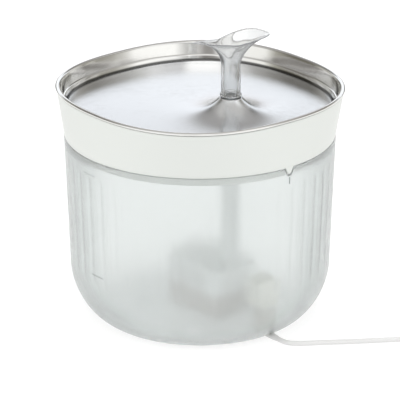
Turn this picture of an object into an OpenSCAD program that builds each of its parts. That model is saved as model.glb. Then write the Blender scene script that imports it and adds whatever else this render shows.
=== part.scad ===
// Pet water fountain: frosted tub, white collar, steel drinking tray with a raised cone, leaf spout and pump.
// Millimetres. The origin is the middle of the base on the floor, +Z is up and +Y is the rear, where the
// cable leaves.

/* [Tank] */
// Height of the tub's top edge above the floor
tank_h = 129.5; // [110:0.5:150]
// Outer radius of the tub at its top edge
tank_r = 91.9; // [88:0.1:96]
// How far the wall draws in from the top edge down to the rounding
tank_draft = 2.9; // [1:0.1:5]
// Wall thickness of the tub
tank_wall = 2.4; // [1.8:0.1:3]
// Thickness of the tub's floor
floor_t = 2.4; // [2:0.1:3.5]
// Height of the rounding at the foot of the wall
round_h = 35; // [28:1:42]
// How far the rounding reaches in from the wall
round_w = 23; // [18:1:28]
// Fullness of the rounding, where 2 is a plain quarter ellipse
round_power = 1.7; // [1.5:0.1:2.4]
// How far the foot pads stand proud of the base
pad_proud = 0.8; // [0.5:0.1:1.5]
// Radius of a foot pad
pad_r = 6; // [4:0.5:8]
// Distance of the foot pads from the middle
pad_ring = 52; // [45:1:56]
// Number of fine upright ribs on the inside of the wall
rib_n = 48; // [24:1:72]
// Radius of an upright rib
rib_r = 0.9; // [0.7:0.1:1.2]
// How far a rib stands out of the wall
rib_proud = 0.5; // [0.3:0.1:0.7]

/* [Collar] */
// Height of the collar from its lower edge to its upper edge
collar_h = 30.6; // [26:0.2:36]
// Wall thickness of the collar
collar_wall = 2.2; // [1.8:0.1:2.6]
// Wall thickness of the collar at its upper edge
collar_lip = 1.4; // [1:0.1:1.8]
// Thickness of the shelf inside the collar
shelf_t = 2.2; // [1.6:0.1:3]
// How far the shelf reaches in from the skirt
shelf_reach = 5.4; // [4:0.2:7]
// Depth of the skirt inside the tub
skirt_h = 6; // [4:0.5:9]
// Thickness of the skirt
skirt_t = 1.8; // [1.4:0.1:2.4]
// Width of the rear tab at its root
tab_w = 6.8; // [6:0.2:12]
// Width of the rear tab at its lower end
tab_foot = 2.4; // [1.6:0.2:5]
// How far the rear tab hangs down
tab_h = 4.6; // [4:0.2:8]

/* [Tray] */
// How far the rim's flat sides reach past the tub's top edge
rim_over = 0.1; // [0:0.1:2]
// Squareness of the rim, where 2 is a circle
rim_power = 2.4; // [2.1:0.1:2.8]
// Height of the rolled rim
bead_h = 2; // [1.6:0.1:2.6]
// Width of the rolled rim
bead_w = 3; // [2.8:0.1:3.4]
// Depth of the ledge under the rim's top
tray_depth = 14; // [12:0.5:18]
// Depth of the crease in the wall under the rim's top
crease_depth = 9; // [7:0.5:10]
// Thickness of the steel sheet
sheet_t = 0.7; // [0.5:0.1:1]
// Width of the ledge at the foot of the wall
ledge_w = 6; // [5:0.5:8]
// Gap between the plate's edge and the wall's foot
plate_gap = 1.3; // [0.8:0.1:2]
// How far the plate's edge stands above the ledge
plate_lift = 1.4; // [1.2:0.1:2]
// Rise of the plate from its edge to its middle
dome_h = 1.2; // [0.4:0.2:2.4]
// Height of the cone above the plate
cone_h = 11.4; // [9:0.2:14]
// How quickly the cone's flank falls away from the spout
cone_fall = 9; // [7:0.5:12]
// Radius of the flat land on the cone's top
land_r = 7.4; // [7.2:0.1:8.5]

/* [Spout] */
// Distance of the spout's axis behind the middle of the tub
spout_y = 32; // [26:1:34]
// Outer radius of the stem
stem_r = 6.5; // [6:0.1:7]
// Bore radius of the stem
stem_bore = 4.5; // [4:0.1:5]
// Radius of the foot flange
flange_r = 7.2; // [7:0.1:7.8]
// Thickness of the foot flange
flange_t = 1.3; // [1:0.1:2]
// Radius of the spigot under the flange
spigot_r = 5; // [4.7:0.1:5.2]
// Length of the spigot under the flange
spigot_h = 8; // [6:0.5:10]
// Height of the leaf's rim over its middle, above the flange
leaf_h = 37; // [32:0.5:44]
// Height above the flange where the stem begins to flare
flare_h = 21; // [17:0.5:25]
// Half the length of the leaf
leaf_len = 32.2; // [27:0.2:36]
// Half the width of the leaf at its middle
leaf_wid = 10.1; // [9:0.1:13]
// How much wider the round end is, and how much narrower the tip
leaf_egg = 0.5; // [0.2:0.05:0.6]
// How far the leaf's middle lies from the stem, towards the tip
leaf_shift = 2.2; // [0:0.2:4]
// Rise of the tip above the middle of the leaf
tip_rise = 6.6; // [3:0.2:9]
// Rise of the round end above the middle of the leaf
end_rise = 1.4; // [0:0.2:5]
// Thickness of the leaf
leaf_t = 1.3; // [1:0.1:1.8]

/* [Filter] */
// Radial gap between the filter holder's wall and the collar's shelf
holder_gap = 1.2; // [0.8:0.1:2]
// Height of the filter holder's wall
holder_h = 17.5; // [15:0.5:20]
// Wall and floor thickness of the filter holder
holder_t = 1.8; // [1.4:0.1:2.4]
// Depth of the holder's floor below the collar's lower edge
holder_drop = 6; // [4:0.5:8]
// Width of the drain slots in the holder's floor
slot_w = 4.5; // [3:0.5:6]
// Thickness of the cartridge's frame
frame_t = 1.4; // [1:0.1:2]
// Depth of the carbon bed
bed_h = 7; // [5:0.5:9]
// Thickness of the felt
felt_h = 2.6; // [1.5:0.1:4]

/* [Pump] */
// Outer radius of the riser tube
riser_r = 6; // [5.8:0.1:6.4]
// Bore radius of the riser tube
riser_bore = 4.1; // [3.6:0.1:4.3]
// Width of the pump
pump_w = 38; // [36:1:42]
// Distance from the pump's front to its rear
pump_len = 54; // [52:0.5:56]
// Height of the pump's motor block
motor_h = 17.5; // [16:0.5:20]
// Height of the pump's cover
cover_h = 17.5; // [16:0.5:20]
// Wall thickness of the cover
cover_t = 1.6; // [1.2:0.1:2]
// Distance of the impeller's axis behind the middle of the tub
rotor_y = 11; // [9:0.5:12]
// Outer radius of the volute
volute_r = 15; // [14:0.5:15.5]
// Radius of the impeller's blades
blade_r = 11.6; // [10:0.2:12]
// Number of impeller blades
blade_n = 6; // [4:1:8]
// Radius of the magnet rotor
magnet_r = 7.5; // [6.5:0.1:8]
// Radius of the ceramic shaft
shaft_r = 1; // [0.8:0.1:1.2]
// Height of a suction cup
cup_h = 3.4; // [3:0.2:5]
// Radius of a suction cup
cup_r = 6; // [5:0.5:7]
// Distance of a suction cup's middle in from the pump's sides
cup_in = 9; // [8:0.5:10]

/* [Socket and cable] */
// Sideways place of the cable column
column_x = -2; // [-4:0.5:0]
// Distance of the cable column in from the tub's top edge
column_in = 25.9; // [25:0.1:28]
// Outer radius of the cable column
column_r = 7.2; // [6.8:0.1:7.6]
// Bore radius of the cable column
column_bore = 4.9; // [4.6:0.1:5.1]
// Height of the cable column's top above the floor
column_h = 21.4; // [20:0.2:26]
// Width of the cable tunnel
tunnel_w = 5.4; // [5:0.1:6]
// Height of the cable tunnel above the floor
tunnel_h = 5.2; // [5:0.1:5.6]
// Width of the power socket
socket_w = 18; // [16:0.5:20]
// Depth of the power socket, front to rear
socket_d = 14; // [12:0.5:15]
// Height of the power socket
socket_h = 20; // [16:0.5:24]
// How far the socket's middle lies in front of the column
socket_fwd = 2.5; // [0:0.5:4]
// Radius of the threaded stem under the socket
thread_r = 3.6; // [3.2:0.1:3.8]
// Radius of the moulded elbow where the cable leaves
elbow_r = 2.2; // [2:0.1:2.3]
// Diameter of the cable
cord_d = 3.4; // [3.4:0.1:3.4]
// Length of the plug's grip
grip_len = 30; // [26:1:34]
// Width of the plug's grip
grip_w = 15; // [14:0.5:16]

/* [Fits] */
// Gap between a piece and the seat that it rests on
seat_gap = 0.3; // [0.2:0.05:0.4]
// Radial gap of a sliding or lift-off fit
slide_gap = 0.3; // [0.25:0.05:0.4]
// Radial gap of a turning fit
run_gap = 0.05; // [0.03:0.01:0.08]

/* [Hidden] */
$fn = 96;
loft_n = 96;

// Heights, from the floor up
base_z = pad_proud;
floor_z = base_z + floor_t;
shoulder_z = base_z + round_h;
collar_z = tank_h + seat_gap;
collar_top = collar_z + collar_h;
rim_z = collar_top + seat_gap + bead_h;
ledge_z = rim_z - tray_depth;
plate_z = ledge_z + plate_lift;

// Tub
shoulder_r = tank_r - tank_draft;
base_r = shoulder_r - round_w;
mouth_r = tank_r - tank_wall;
round_n = 12;
rib_foot = shoulder_z + 4;
rib_top = tank_h - 11.5;
rib_lean = atan(tank_draft / (tank_h - shoulder_z));

// Rim, collar and tray. A value named _in is a distance in from the rim's outline.
rim_half = tank_r + rim_over;
collar_in = 0.8;
collar_foot_r = tank_r - 0.2;
skirt_r = mouth_r - 0.5;
shelf_r = skirt_r - shelf_reach;
shelf_sink = 0.2;
wall_in = bead_w + 0.2;
crease_in = wall_in + 1.8;
crease_step = 0.9;
foot_in = crease_in + crease_step + 1.6;
plate_in = foot_in - 0.6 + plate_gap;
plate_t = 0.8;
bump_r = 1.5;
bump_n = 12;

// Spout and its seat
seat_flange_t = 0.6;
seat_wall = 1;
seat_r = spigot_r + run_gap + seat_wall;
dome_there = 0.86;
land_z = plate_z + dome_h * dome_there + cone_h;
seat_z = land_z + seat_gap;
spout_z = seat_z + seat_flange_t + run_gap;
riser_top = spout_z - spigot_h - 1.4;
seat_foot = riser_top - 4.6;
leaf_turn = 185;
leaf_power = 3;
leaf_n = 48;
leaf_rings = 9;

// Filter
holder_r = shelf_r - holder_gap;
holder_floor = collar_z - holder_drop;
boss_bore = riser_r + 0.8;
boss_r = boss_bore + 1.6;
frame_r = holder_r - holder_t - slide_gap;
frame_z = holder_floor + holder_t + seat_gap;
frame_h = frame_t + bed_h + felt_h + 1.2;
hub_r = boss_r + slide_gap;

// Pump, from the tub's floor up
cup_z = floor_z + seat_gap;
motor_z = cup_z + cup_h;
motor_top = motor_z + motor_h;
cover_top = motor_top + cover_h;
well_r = magnet_r + 0.5;
well_z = motor_z + 3;
chamber_r = blade_r + 0.9;
volute_top = motor_top + 11;
outlet_r = riser_bore + 0.5;
outlet_wall = 0.8;
outlet_bore = 3.2;
outlet_gap = 0.5;
pump_back = spout_y + outlet_r + outlet_wall + outlet_gap + cover_t;
pump_front = pump_back - pump_len;
pump_y = (pump_front + pump_back) / 2;
riser_sock = outlet_r + slide_gap;
riser_z = cover_top + 1.2;
outlet_top = riser_z + 7;
slider_w = 8;
slider_travel = 5;

// Socket and cable
column_y = tank_r - column_in;
socket_y = column_y - socket_fwd;
seal_t = 1;
socket_z = column_h + seal_t + seat_gap;
stem_z = column_h - 9;
cord_r = cord_d / 2;
elbow_z = elbow_r + 0.3;
elbow_end = column_y + 13;

// Cable route from the elbow's end to the coil: way along X and Y from that end, and height over the floor
run_way = [
    [0, 0, 2.5], [0, 3.5, 2.4], [-1.6, 9, 2], [-6, 13.6, 1.8], [-12, 17.8, 1.7], [-19, 22.4, 1.7],
    [-26, 27.2, 1.7], [-34, 32.8, 1.7], [-42, 38.2, 1.7], [-50, 43.4, 1.7], [-58, 48.6, 1.7],
    [-66, 53.7, 1.7], [-75, 59.4, 1.7], [-84, 65.1, 1.7], [-89.9, 68.85, 1.7]
];
run_pts = [for (p = run_way) p + [column_x, elbow_end, 0]];

// Coil: it spirals in on the floor and out again one layer up
coil_c = [column_x - 117.76, elbow_end + 50.9];
coil_start = 57.8;
coil_turns = 11.23;
coil_out = 30;
coil_pitch = 4;
coil_layer = 3.9;
coil_lift = 0.5;
coil_steps = 24;
coil_flip = coil_turns / 2;
tail_len = 19;
tie_turn = 250;
tie_w = 8;

// Polar radius of a rounded square of half width a
function square_r(a, power, t) = a / pow(pow(abs(cos(t)), power) + pow(abs(sin(t)), power), 1 / power);

// Quarter curve from the flat base to the wall, as points of a profile
function round_pts(flat_r, low_z, wide, high) = [
    for (i = [0:round_n])
        let (t = 90 * i / round_n)
            [flat_r + wide * pow(sin(t), 2 / round_power), low_z + high * (1 - pow(cos(t), 2 / round_power))]
];

// Rectangle with rounded corners, as points
function round_rect(w, d, r, n = 4) = [
    for (q = [0:3])
        for (i = [0:n])
            let (t = 90 * q + 90 * i / n, sx = (q == 0 || q == 3) ? 1 : -1, sy = q < 2 ? 1 : -1)
                [sx * (w / 2 - r) + r * cos(t), sy * (d / 2 - r) + r * sin(t)]
];

// Skin over a list of rings with the same number of points. A closed skin joins the last ring to the first.
module skin(rings, closed) {
    n = len(rings[0]);
    m = len(rings);
    sides = [
        for (j = [0:(closed ? m - 1 : m - 2)])
            for (i = [0:n - 1])
                let (here = j * n, next = ((j + 1) % m) * n, k = (i + 1) % n)
                    each [[here + i, next + k, here + k], [here + i, next + i, next + k]]
    ];
    ends = closed ? [] : [[for (i = [0:n - 1]) i], [for (i = [n - 1:-1:0]) (m - 1) * n + i]];
    polyhedron(points = [for (r = rings) each r], faces = concat(sides, ends), convexity = 10);
}

function polar_ring(radii, z) = [
    for (i = [0:len(radii) - 1])
        let (t = 360 * i / len(radii))
            [radii[i] * cos(t), radii[i] * sin(t), z]
];

// Tub ------------------------------------------------------------------------------------------------------

module tank_outline() {
    polygon(concat(
        [[0, base_z]],
        round_pts(base_r, base_z, round_w, round_h),
        [[tank_r, tank_h], [0, tank_h]]
    ));
}

module tank_hollow() {
    flat_r = base_r - 1.4;
    polygon(concat(
        [[0, floor_z]],
        round_pts(flat_r, floor_z, shoulder_r - tank_wall - flat_r, round_h - floor_t),
        [[mouth_r, tank_h], [mouth_r, tank_h + 1], [0, tank_h + 1]]
    ));
}

module tab_shape(grow) {
    half = tab_w / 2 + grow;
    foot = tab_foot / 2 + grow;
    polygon([[-half, 1], [-half, 0], [-foot, -tab_h - grow], [foot, -tab_h - grow], [half, 0], [half, 1]]);
}

module at_pads() {
    for (q = [0:3])
        rotate(45 + 90 * q)
            translate([pad_ring, 0, 0])
                children();
}

// Fine upright ribs that follow the lean of the wall, half sunk in it
module tank_ribs() {
    for (k = [0:rib_n - 1])
        rotate(360 * (k + 0.5) / rib_n)
            translate([mouth_r - tank_draft * (tank_h - rib_foot) / (tank_h - shoulder_z), 0, rib_foot])
                rotate([0, rib_lean, 0])
                    translate([rib_r - rib_proud, 0, 0])
                        cylinder(r = rib_r, h = rib_top - rib_foot, $fn = 12);
}

module tank() {
    color([0.86, 0.91, 0.91, 0.6])
    difference() {
        union() {
            difference() {
                rotate_extrude() tank_outline();
                rotate_extrude() tank_hollow();
            }
            tank_ribs();
            intersection() {
                rotate_extrude() tank_outline();
                union() {
                    translate([column_x, column_y, base_z]) cylinder(r = column_r, h = column_h - base_z);
                    translate([column_x - tunnel_w / 2 - 2, column_y, base_z])
                        cube([tunnel_w + 4, 20, tunnel_h + 2 - base_z]);
                }
            }
        }
        translate([column_x, column_y, -1]) cylinder(r = column_bore, h = column_h - 1.2);
        translate([column_x, column_y, column_h - 5]) cylinder(r = thread_r + slide_gap, h = 6);
        translate([column_x - tunnel_w / 2, column_y, -1]) cube([tunnel_w, 24, tunnel_h + 1]);
        at_pads() translate([0, 0, -1]) cylinder(r = pad_r + 0.2, h = base_z + 1.8);
        translate([0, tank_r + 4, tank_h]) rotate([90, 0, 0]) linear_extrude(10) tab_shape(slide_gap);
    }
}

module foot_pads() {
    color("dimgray")
    at_pads() rotate_extrude(convexity = 2)
        polygon([[0, 0], [pad_r - 0.6, 0], [pad_r, 0.5], [pad_r, base_z + 0.8], [0, base_z + 0.8]]);
}

// Collar ---------------------------------------------------------------------------------------------------

// Outer radius of the collar at height share s, in direction t
function collar_out(s, t) =
    (1 - s) * collar_foot_r + s * square_r(rim_half - collar_in, rim_power, t);

function collar_ring(s, wall) = polar_ring(
    [for (i = [0:loft_n - 1]) collar_out(s, 360 * i / loft_n) - wall],
    collar_z + s * collar_h
);

// Wall thickness at height share s: it thins out towards the lip
function collar_thick(s) = collar_wall + (collar_lip - collar_wall) * pow(s, 3);

module collar() {
    shares = [0, 0.2, 0.4, 0.6, 0.8, 1];
    shelf_z = collar_z + shelf_sink;
    color([0.91, 0.91, 0.89])
    union() {
        skin(concat(
            [for (s = shares) collar_ring(s, 0)],
            [for (i = [5:-1:0]) collar_ring(shares[i], collar_thick(shares[i]))]
        ), true);
        rotate_extrude(convexity = 4)
            polygon([
                [shelf_r, shelf_z], [skirt_r - skirt_t, shelf_z],
                [skirt_r - skirt_t, collar_z - skirt_h], [skirt_r - 0.5, collar_z - skirt_h],
                [skirt_r, collar_z - skirt_h + 0.8], [skirt_r, shelf_z],
                [tank_r - 1.2, shelf_z], [tank_r - 1.2, shelf_z + shelf_t],
                [shelf_r, shelf_z + shelf_t]
            ]);
        translate([0, collar_foot_r - 0.1, collar_z])
            rotate([90, 0, 0])
                linear_extrude(1.8) tab_shape(0);
    }
}

// Steel tray -----------------------------------------------------------------------------------------------

// Section of the pan's sheet: distance in from the rim's outline, and height from the rim's top
pan_section = [
    [0.9, -bead_h], [0.2, -bead_h + 0.5], [0, -bead_h / 2], [0.3, -0.35], [1, 0], [1.9, -0.05],
    [bead_w - 0.3, -0.4], [wall_in, -1.2],
    [crease_in, -crease_depth], [crease_in + crease_step, -crease_depth - 0.5],
    [foot_in - 0.7, -tray_depth + 1], [foot_in - 0.2, -tray_depth + 0.3], [foot_in + 0.6, -tray_depth],
    [foot_in + ledge_w, -tray_depth], [foot_in + ledge_w, -tray_depth - sheet_t],
    [foot_in + 0.2, -tray_depth - sheet_t], [foot_in - 1, -tray_depth - 0.1],
    [foot_in - 1.5, -tray_depth + 0.9],
    [crease_in + crease_step - 0.75, -crease_depth - 0.95], [crease_in - 0.75, -crease_depth - 0.3],
    [wall_in - 0.6, -bead_h]
];

function pan_ring(p) = polar_ring(
    [for (i = [0:loft_n - 1]) square_r(rim_half - p[0], rim_power, 360 * i / loft_n)],
    rim_z + p[1]
);

module steel_tray() {
    color([0.78, 0.78, 0.76])
    skin([for (i = [len(pan_section) - 1:-1:0]) pan_ring(pan_section[i])], true);
}

// Height of the plate's top over its edge: a low dome, and a cone whose flank falls away from the spout
function plate_rise(x, y) =
    let (
        out = norm([x, y]) / square_r(rim_half - plate_in, rim_power, atan2(y, x)),
        near = max(0, norm([x, y - spout_y]) - land_r)
    )
    dome_h * (1 - pow(min(out, 1), 2)) + cone_h * exp(-near / cone_fall) * (1 - pow(min(out, 1), 8));

// A point of the plate: share 0 is the hole in the cone, share 1 the edge
function plate_point(share, t, drop) =
    let (
        hole = [(spigot_r + 0.4) * cos(t), spout_y + (spigot_r + 0.4) * sin(t)],
        edge = square_r(rim_half - plate_in, rim_power, t) * [cos(t), sin(t)],
        p = hole * (1 - share) + edge * share
    )
    [p[0], p[1], plate_z + plate_rise(p[0], p[1]) - drop];

module plate_sheet() {
    n = 72;
    shares = [0, 0.03, 0.06, 0.1, 0.15, 0.21, 0.28, 0.37, 0.48, 0.62, 0.8, 0.95, 1];
    last = len(shares) - 1;
    function ring(k, drop) = [for (i = [0:n - 1]) plate_point(shares[k], 360 * i / n, drop)];
    skin(concat([for (k = [last:-1:0]) ring(k, 0)], [for (k = [0:last]) ring(k, plate_t)]), true);
}

module tray_plate() {
    bump_half = rim_half - foot_in - ledge_w / 2 - 0.4;
    color([0.85, 0.86, 0.88])
    difference() {
        union() {
            plate_sheet();
            for (k = [0:bump_n - 1])
                rotate(360 * k / bump_n)
                    translate([square_r(bump_half, rim_power, 360 * k / bump_n), 0, ledge_z + seat_gap])
                        cylinder(r = bump_r, h = plate_lift - seat_gap - plate_t / 2, $fn = 16);
        }
        translate([0, spout_y, plate_z]) cylinder(r = seat_r + slide_gap, h = cone_h + 5);
    }
}

// Spout ----------------------------------------------------------------------------------------------------

module spout_seat() {
    bore = spigot_r + run_gap;
    color([0.9, 0.92, 0.92, 0.8])
    translate([0, spout_y, 0])
        rotate_extrude(convexity = 4)
            polygon([
                [bore, seat_z + seat_flange_t], [bore, riser_top + 0.5], [spigot_r + slide_gap, riser_top],
                [spigot_r + slide_gap, seat_foot], [seat_r, seat_foot], [seat_r, seat_z],
                [flange_r - 0.3, seat_z], [flange_r - 0.3, seat_z + seat_flange_t]
            ]);
}

// Outline of the leaf's rim seen from above. The tip points along +X before the leaf is turned.
function leaf_edge(t, inset) =
    let (
        c = sign(cos(t)) * pow(abs(cos(t)), 2 / leaf_power),
        s = sign(sin(t)) * pow(abs(sin(t)), 2 / leaf_power),
        half_w = leaf_wid * (1 - leaf_egg * c) - inset
    )
    [leaf_shift + (leaf_len - inset) * c, half_w * s];

function leaf_top(t) =
    let (c = sign(cos(t)) * pow(abs(cos(t)), 2 / leaf_power))
    leaf_h + (c > 0 ? tip_rise : end_rise) * abs(c);

// Ring of the flare: share 0 is the stem, share 1 the leaf's rim
function flare_ring(share, start_r, start_z, inset, drop) = [
    for (i = [0:leaf_n - 1])
        let (
            t = 360 * i / leaf_n, a = 90 * share,
            wide = 1 - cos(a), up = 0.75 * sin(a) + 0.25 * wide,
            e = leaf_edge(t, inset), top = leaf_top(t) - drop,
            p = [start_r * cos(t), start_r * sin(t)] * (1 - wide) + e * wide
        )
        [p[0], p[1], spout_z + start_z + (top - start_z) * up]
];

module spout_flare() {
    bore_r = stem_bore + 0.05;
    skin(concat(
        [polar_ring([for (i = [0:leaf_n - 1]) bore_r], spout_z + flange_t - 0.4)],
        [polar_ring([for (i = [0:leaf_n - 1]) stem_r], spout_z + flange_t - 0.4)],
        [for (k = [0:leaf_rings]) flare_ring(k / leaf_rings, stem_r, flare_h, 0, 0)],
        [for (k = [leaf_rings:-1:0]) flare_ring(k / leaf_rings, bore_r, flare_h - 1, leaf_t, 0)]
    ), true);
}

module spout() {
    color([0.88, 0.93, 0.95, 0.5])
    translate([0, spout_y, 0])
        rotate(leaf_turn + 180)
            difference() {
                union() {
                    spout_flare();
                    translate([0, 0, spout_z - spigot_h]) cylinder(r = spigot_r, h = spigot_h + 0.5);
                    translate([0, 0, spout_z]) cylinder(r = flange_r, h = flange_t);
                }
                translate([0, 0, spout_z - spigot_h - 1]) cylinder(r = spigot_r - 1, h = spigot_h + 3);
                translate([0, 0, spout_z + flange_t - 0.6]) cylinder(r = stem_bore, h = 2);
            }
}

// Filter ---------------------------------------------------------------------------------------------------

module filter_holder() {
    slot_pitch = slot_w * 2;
    lip_z = collar_z + shelf_sink + shelf_t + seat_gap;
    slots = floor((holder_r - 12) / slot_pitch);
    color([0.93, 0.93, 0.91])
    difference() {
        union() {
            rotate_extrude(convexity = 4)
                polygon([
                    [0, holder_floor], [holder_r, holder_floor], [holder_r, lip_z],
                    [skirt_r - 1, lip_z], [skirt_r - 1, lip_z + 1.6],
                    [holder_r, lip_z + 1.6], [holder_r, holder_floor + holder_h],
                    [holder_r - holder_t, holder_floor + holder_h],
                    [holder_r - holder_t, holder_floor + holder_t], [0, holder_floor + holder_t]
                ]);
            translate([0, spout_y, holder_floor]) cylinder(r = boss_r, h = holder_h + 1);
        }
        difference() {
            for (k = [-slots:slots])
                let (x = k * slot_pitch, half = sqrt(pow(holder_r - 9, 2) - x * x))
                    translate([x - slot_w / 2, -half, holder_floor - 1])
                        cube([slot_w, 2 * half, holder_t + 2]);
            translate([0, spout_y, holder_floor - 2]) cylinder(r = boss_r + 3, h = holder_t + 4);
            for (y = [-40, 0])
                translate([-holder_r, y - 2, holder_floor - 2]) cube([2 * holder_r, 4, holder_t + 4]);
        }
        translate([0, spout_y, holder_floor - 1]) cylinder(r = boss_bore, h = holder_h + 4);
    }
}

module filter_disc(outer, inner, z, h) {
    difference() {
        translate([0, 0, z]) cylinder(r = outer, h = h);
        translate([0, spout_y, z - 1]) cylinder(r = inner, h = h + 2);
    }
}

module filter_frame() {
    color([0.95, 0.95, 0.93])
    difference() {
        filter_disc(frame_r, hub_r, frame_z, frame_h);
        difference() {
            translate([0, 0, frame_z + frame_t]) cylinder(r = frame_r - frame_t, h = frame_h);
            translate([0, spout_y, frame_z]) cylinder(r = hub_r + frame_t, h = frame_h + 1);
        }
    }
}

module carbon_bed() {
    color([0.15, 0.15, 0.16])
    filter_disc(frame_r - frame_t - 0.2, hub_r + frame_t + 0.2, frame_z + frame_t + 0.1, bed_h);
}

module filter_felt() {
    color("white")
    filter_disc(frame_r - frame_t - 0.2, hub_r + frame_t + 0.2, frame_z + frame_t + bed_h + 0.3, felt_h);
}

// Pump -----------------------------------------------------------------------------------------------------

module riser_tube() {
    color([0.9, 0.92, 0.92])
    translate([0, spout_y, 0])
        rotate_extrude()
            polygon([
                [riser_sock, riser_z], [riser_r, riser_z], [riser_r, seat_foot - 0.8],
                [spigot_r, seat_foot - 0.3], [spigot_r, riser_top], [riser_bore, riser_top],
                [riser_bore, outlet_top + 0.4], [riser_sock, outlet_top + 0.4]
            ]);
}

module pump_shape(inset) {
    translate([0, pump_y]) polygon(round_rect(pump_w - 2 * inset, pump_len - 2 * inset, 6 - inset));
}

module pump_body() {
    color([0.55, 0.57, 0.6])
    difference() {
        translate([0, 0, motor_z]) linear_extrude(motor_h) pump_shape(0.8);
        translate([0, rotor_y, well_z]) cylinder(r = well_r, h = motor_h);
        translate([0, rotor_y, motor_z + 1.5]) cylinder(r = shaft_r, h = motor_h);
    }
}

module volute_cap() {
    z = motor_top + 0.1;
    color([0.62, 0.64, 0.67])
    difference() {
        union() {
            translate([0, rotor_y, z]) cylinder(r = volute_r, h = volute_top - z);
            translate([0, spout_y, z]) cylinder(r = outlet_r + outlet_wall, h = volute_top - z);
            translate([-outlet_r - outlet_wall, rotor_y, z])
                cube([2 * (outlet_r + outlet_wall), spout_y - rotor_y, volute_top - z]);
            translate([0, spout_y, z]) cylinder(r = outlet_r, h = outlet_top - z);
        }
        translate([0, rotor_y, z - 1]) cylinder(r = chamber_r, h = volute_top - z - 1);
        translate([-outlet_bore, rotor_y, z + 2])
            cube([2 * outlet_bore, spout_y - rotor_y, 2 * outlet_bore]);
        translate([0, spout_y, z + 2]) cylinder(r = outlet_bore, h = outlet_top);
        difference() {
            translate([0, rotor_y, volute_top - 4]) cylinder(r = 6, h = 6);
            translate([0, rotor_y, volute_top - 5]) cylinder(r = 2.6, h = 8);
            for (k = [0:2])
                translate([0, rotor_y, volute_top - 5])
                    rotate(120 * k + 90)
                        translate([0, -0.9, 0])
                            cube([8, 1.8, 8]);
        }
        translate([0, rotor_y, volute_top - 4]) cylinder(r = shaft_r, h = 3);
    }
}

module pump_cover() {
    z = motor_top + 0.2;
    slots = 7;
    color([0.7, 0.72, 0.74])
    difference() {
        translate([0, 0, z]) linear_extrude(cover_top - z) pump_shape(0);
        translate([0, 0, z - 1]) linear_extrude(cover_top - z + 1 - cover_t) pump_shape(cover_t);
        translate([0, spout_y, cover_top - 4]) cylinder(r = outlet_r + slide_gap, h = 8);
        for (k = [0:slots - 1])
            translate([-pump_w / 2 - 1, pump_front + 9 + k * 5, z + 4])
                cube([pump_w + 2, 2, cover_h - 8.5]);
        for (x = [-9, 9])
            translate([x - 2.5, pump_front - 1, z + 4]) cube([5, 4, 5]);
        translate([-slider_w / 2 - slider_travel, pump_front - 1, z + 11])
            cube([slider_w + 2 * slider_travel, 4, 2.6]);
    }
}

module flow_slider() {
    z = motor_top + 0.2;
    color([0.35, 0.37, 0.4])
    union() {
        translate([-slider_w / 2, pump_front - 1.8, z + 3.4]) cube([slider_w, 1.5, 12]);
        translate([-1.5, pump_front - 0.5, z + 11.3]) cube([3, cover_t + 1.1, 2]);
        translate([-3, pump_front + cover_t + 0.3, z + 10.3]) cube([6, 1, 4]);
        for (x = [-2, 0, 2])
            translate([x - 0.4, pump_front - 2.6, z + 5]) cube([0.8, 1, 9]);
    }
}

module pump_foam() {
    front = pump_front + cover_t + 2;
    depth = rotor_y - volute_r - 0.4 - front;
    color([0.3, 0.32, 0.34])
    translate([-pump_w / 2 + cover_t + 4, front, motor_top + 0.6])
        cube([pump_w - 2 * cover_t - 8, depth, cover_h - cover_t - 1.4]);
}

module impeller() {
    hub_z = motor_top + 0.8;
    color([0.92, 0.92, 0.9])
    translate([0, rotor_y, 0])
        difference() {
            union() {
                translate([0, 0, well_z + 0.6]) cylinder(r = magnet_r, h = motor_top - well_z - 1.6);
                translate([0, 0, motor_top - 1.5]) cylinder(r = 4, h = 3);
                translate([0, 0, hub_z]) cylinder(r = blade_r, h = 1);
                translate([0, 0, hub_z]) cylinder(r = 2.6, h = 6);
                for (k = [0:blade_n - 1])
                    rotate(360 * k / blade_n)
                        translate([1.8, -0.5, hub_z + 0.5])
                            cube([blade_r - 2.4, 1, 5]);
            }
            translate([0, 0, well_z - 1]) cylinder(r = shaft_r + run_gap, h = volute_top - well_z);
        }
}

module impeller_shaft() {
    color("ivory")
    translate([0, rotor_y, motor_z + 1.6]) cylinder(r = shaft_r - 0.01, h = volute_top - 1.2 - motor_z - 1.6);
}

module suction_cups() {
    color([0.75, 0.78, 0.8])
    for (x = [-1, 1])
        for (y = [pump_front + cup_in, pump_back - cup_in])
            translate([x * (pump_w / 2 - cup_in), y, 0])
                rotate_extrude()
                    polygon([
                        [0, cup_z + cup_h * 0.35], [cup_r * 0.87, cup_z], [cup_r, cup_z],
                        [cup_r * 0.93, cup_z + cup_h * 0.18], [cup_r * 0.4, cup_z + cup_h * 0.59],
                        [cup_r * 0.4, cup_z + cup_h - 0.05], [0, cup_z + cup_h - 0.05]
                    ]);
}

// Socket and cable -----------------------------------------------------------------------------------------

module power_socket() {
    color([0.95, 0.94, 0.9])
    difference() {
        union() {
            translate([column_x, socket_y, socket_z])
                intersection() {
                    linear_extrude(socket_h) polygon(round_rect(socket_w, socket_d, 3));
                    translate([0, socket_d / 2 + 1, socket_h / 2])
                        rotate([90, 0, 0])
                            linear_extrude(socket_d + 2) polygon(round_rect(socket_w, socket_h, 4));
                }
            translate([column_x, column_y, stem_z]) cylinder(r = thread_r, h = socket_z - stem_z + 1);
        }
        translate([column_x - 4.5, socket_y - socket_d / 2 - 1, socket_z + 6]) cube([9, 4, 6]);
    }
}

module socket_seal() {
    color([0.4, 0.42, 0.44])
    translate([column_x, column_y, column_h + 0.1])
        difference() {
            cylinder(r = column_r - 1.4, h = seal_t);
            translate([0, 0, -1]) cylinder(r = thread_r + 0.2, h = seal_t + 2);
        }
}

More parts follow.
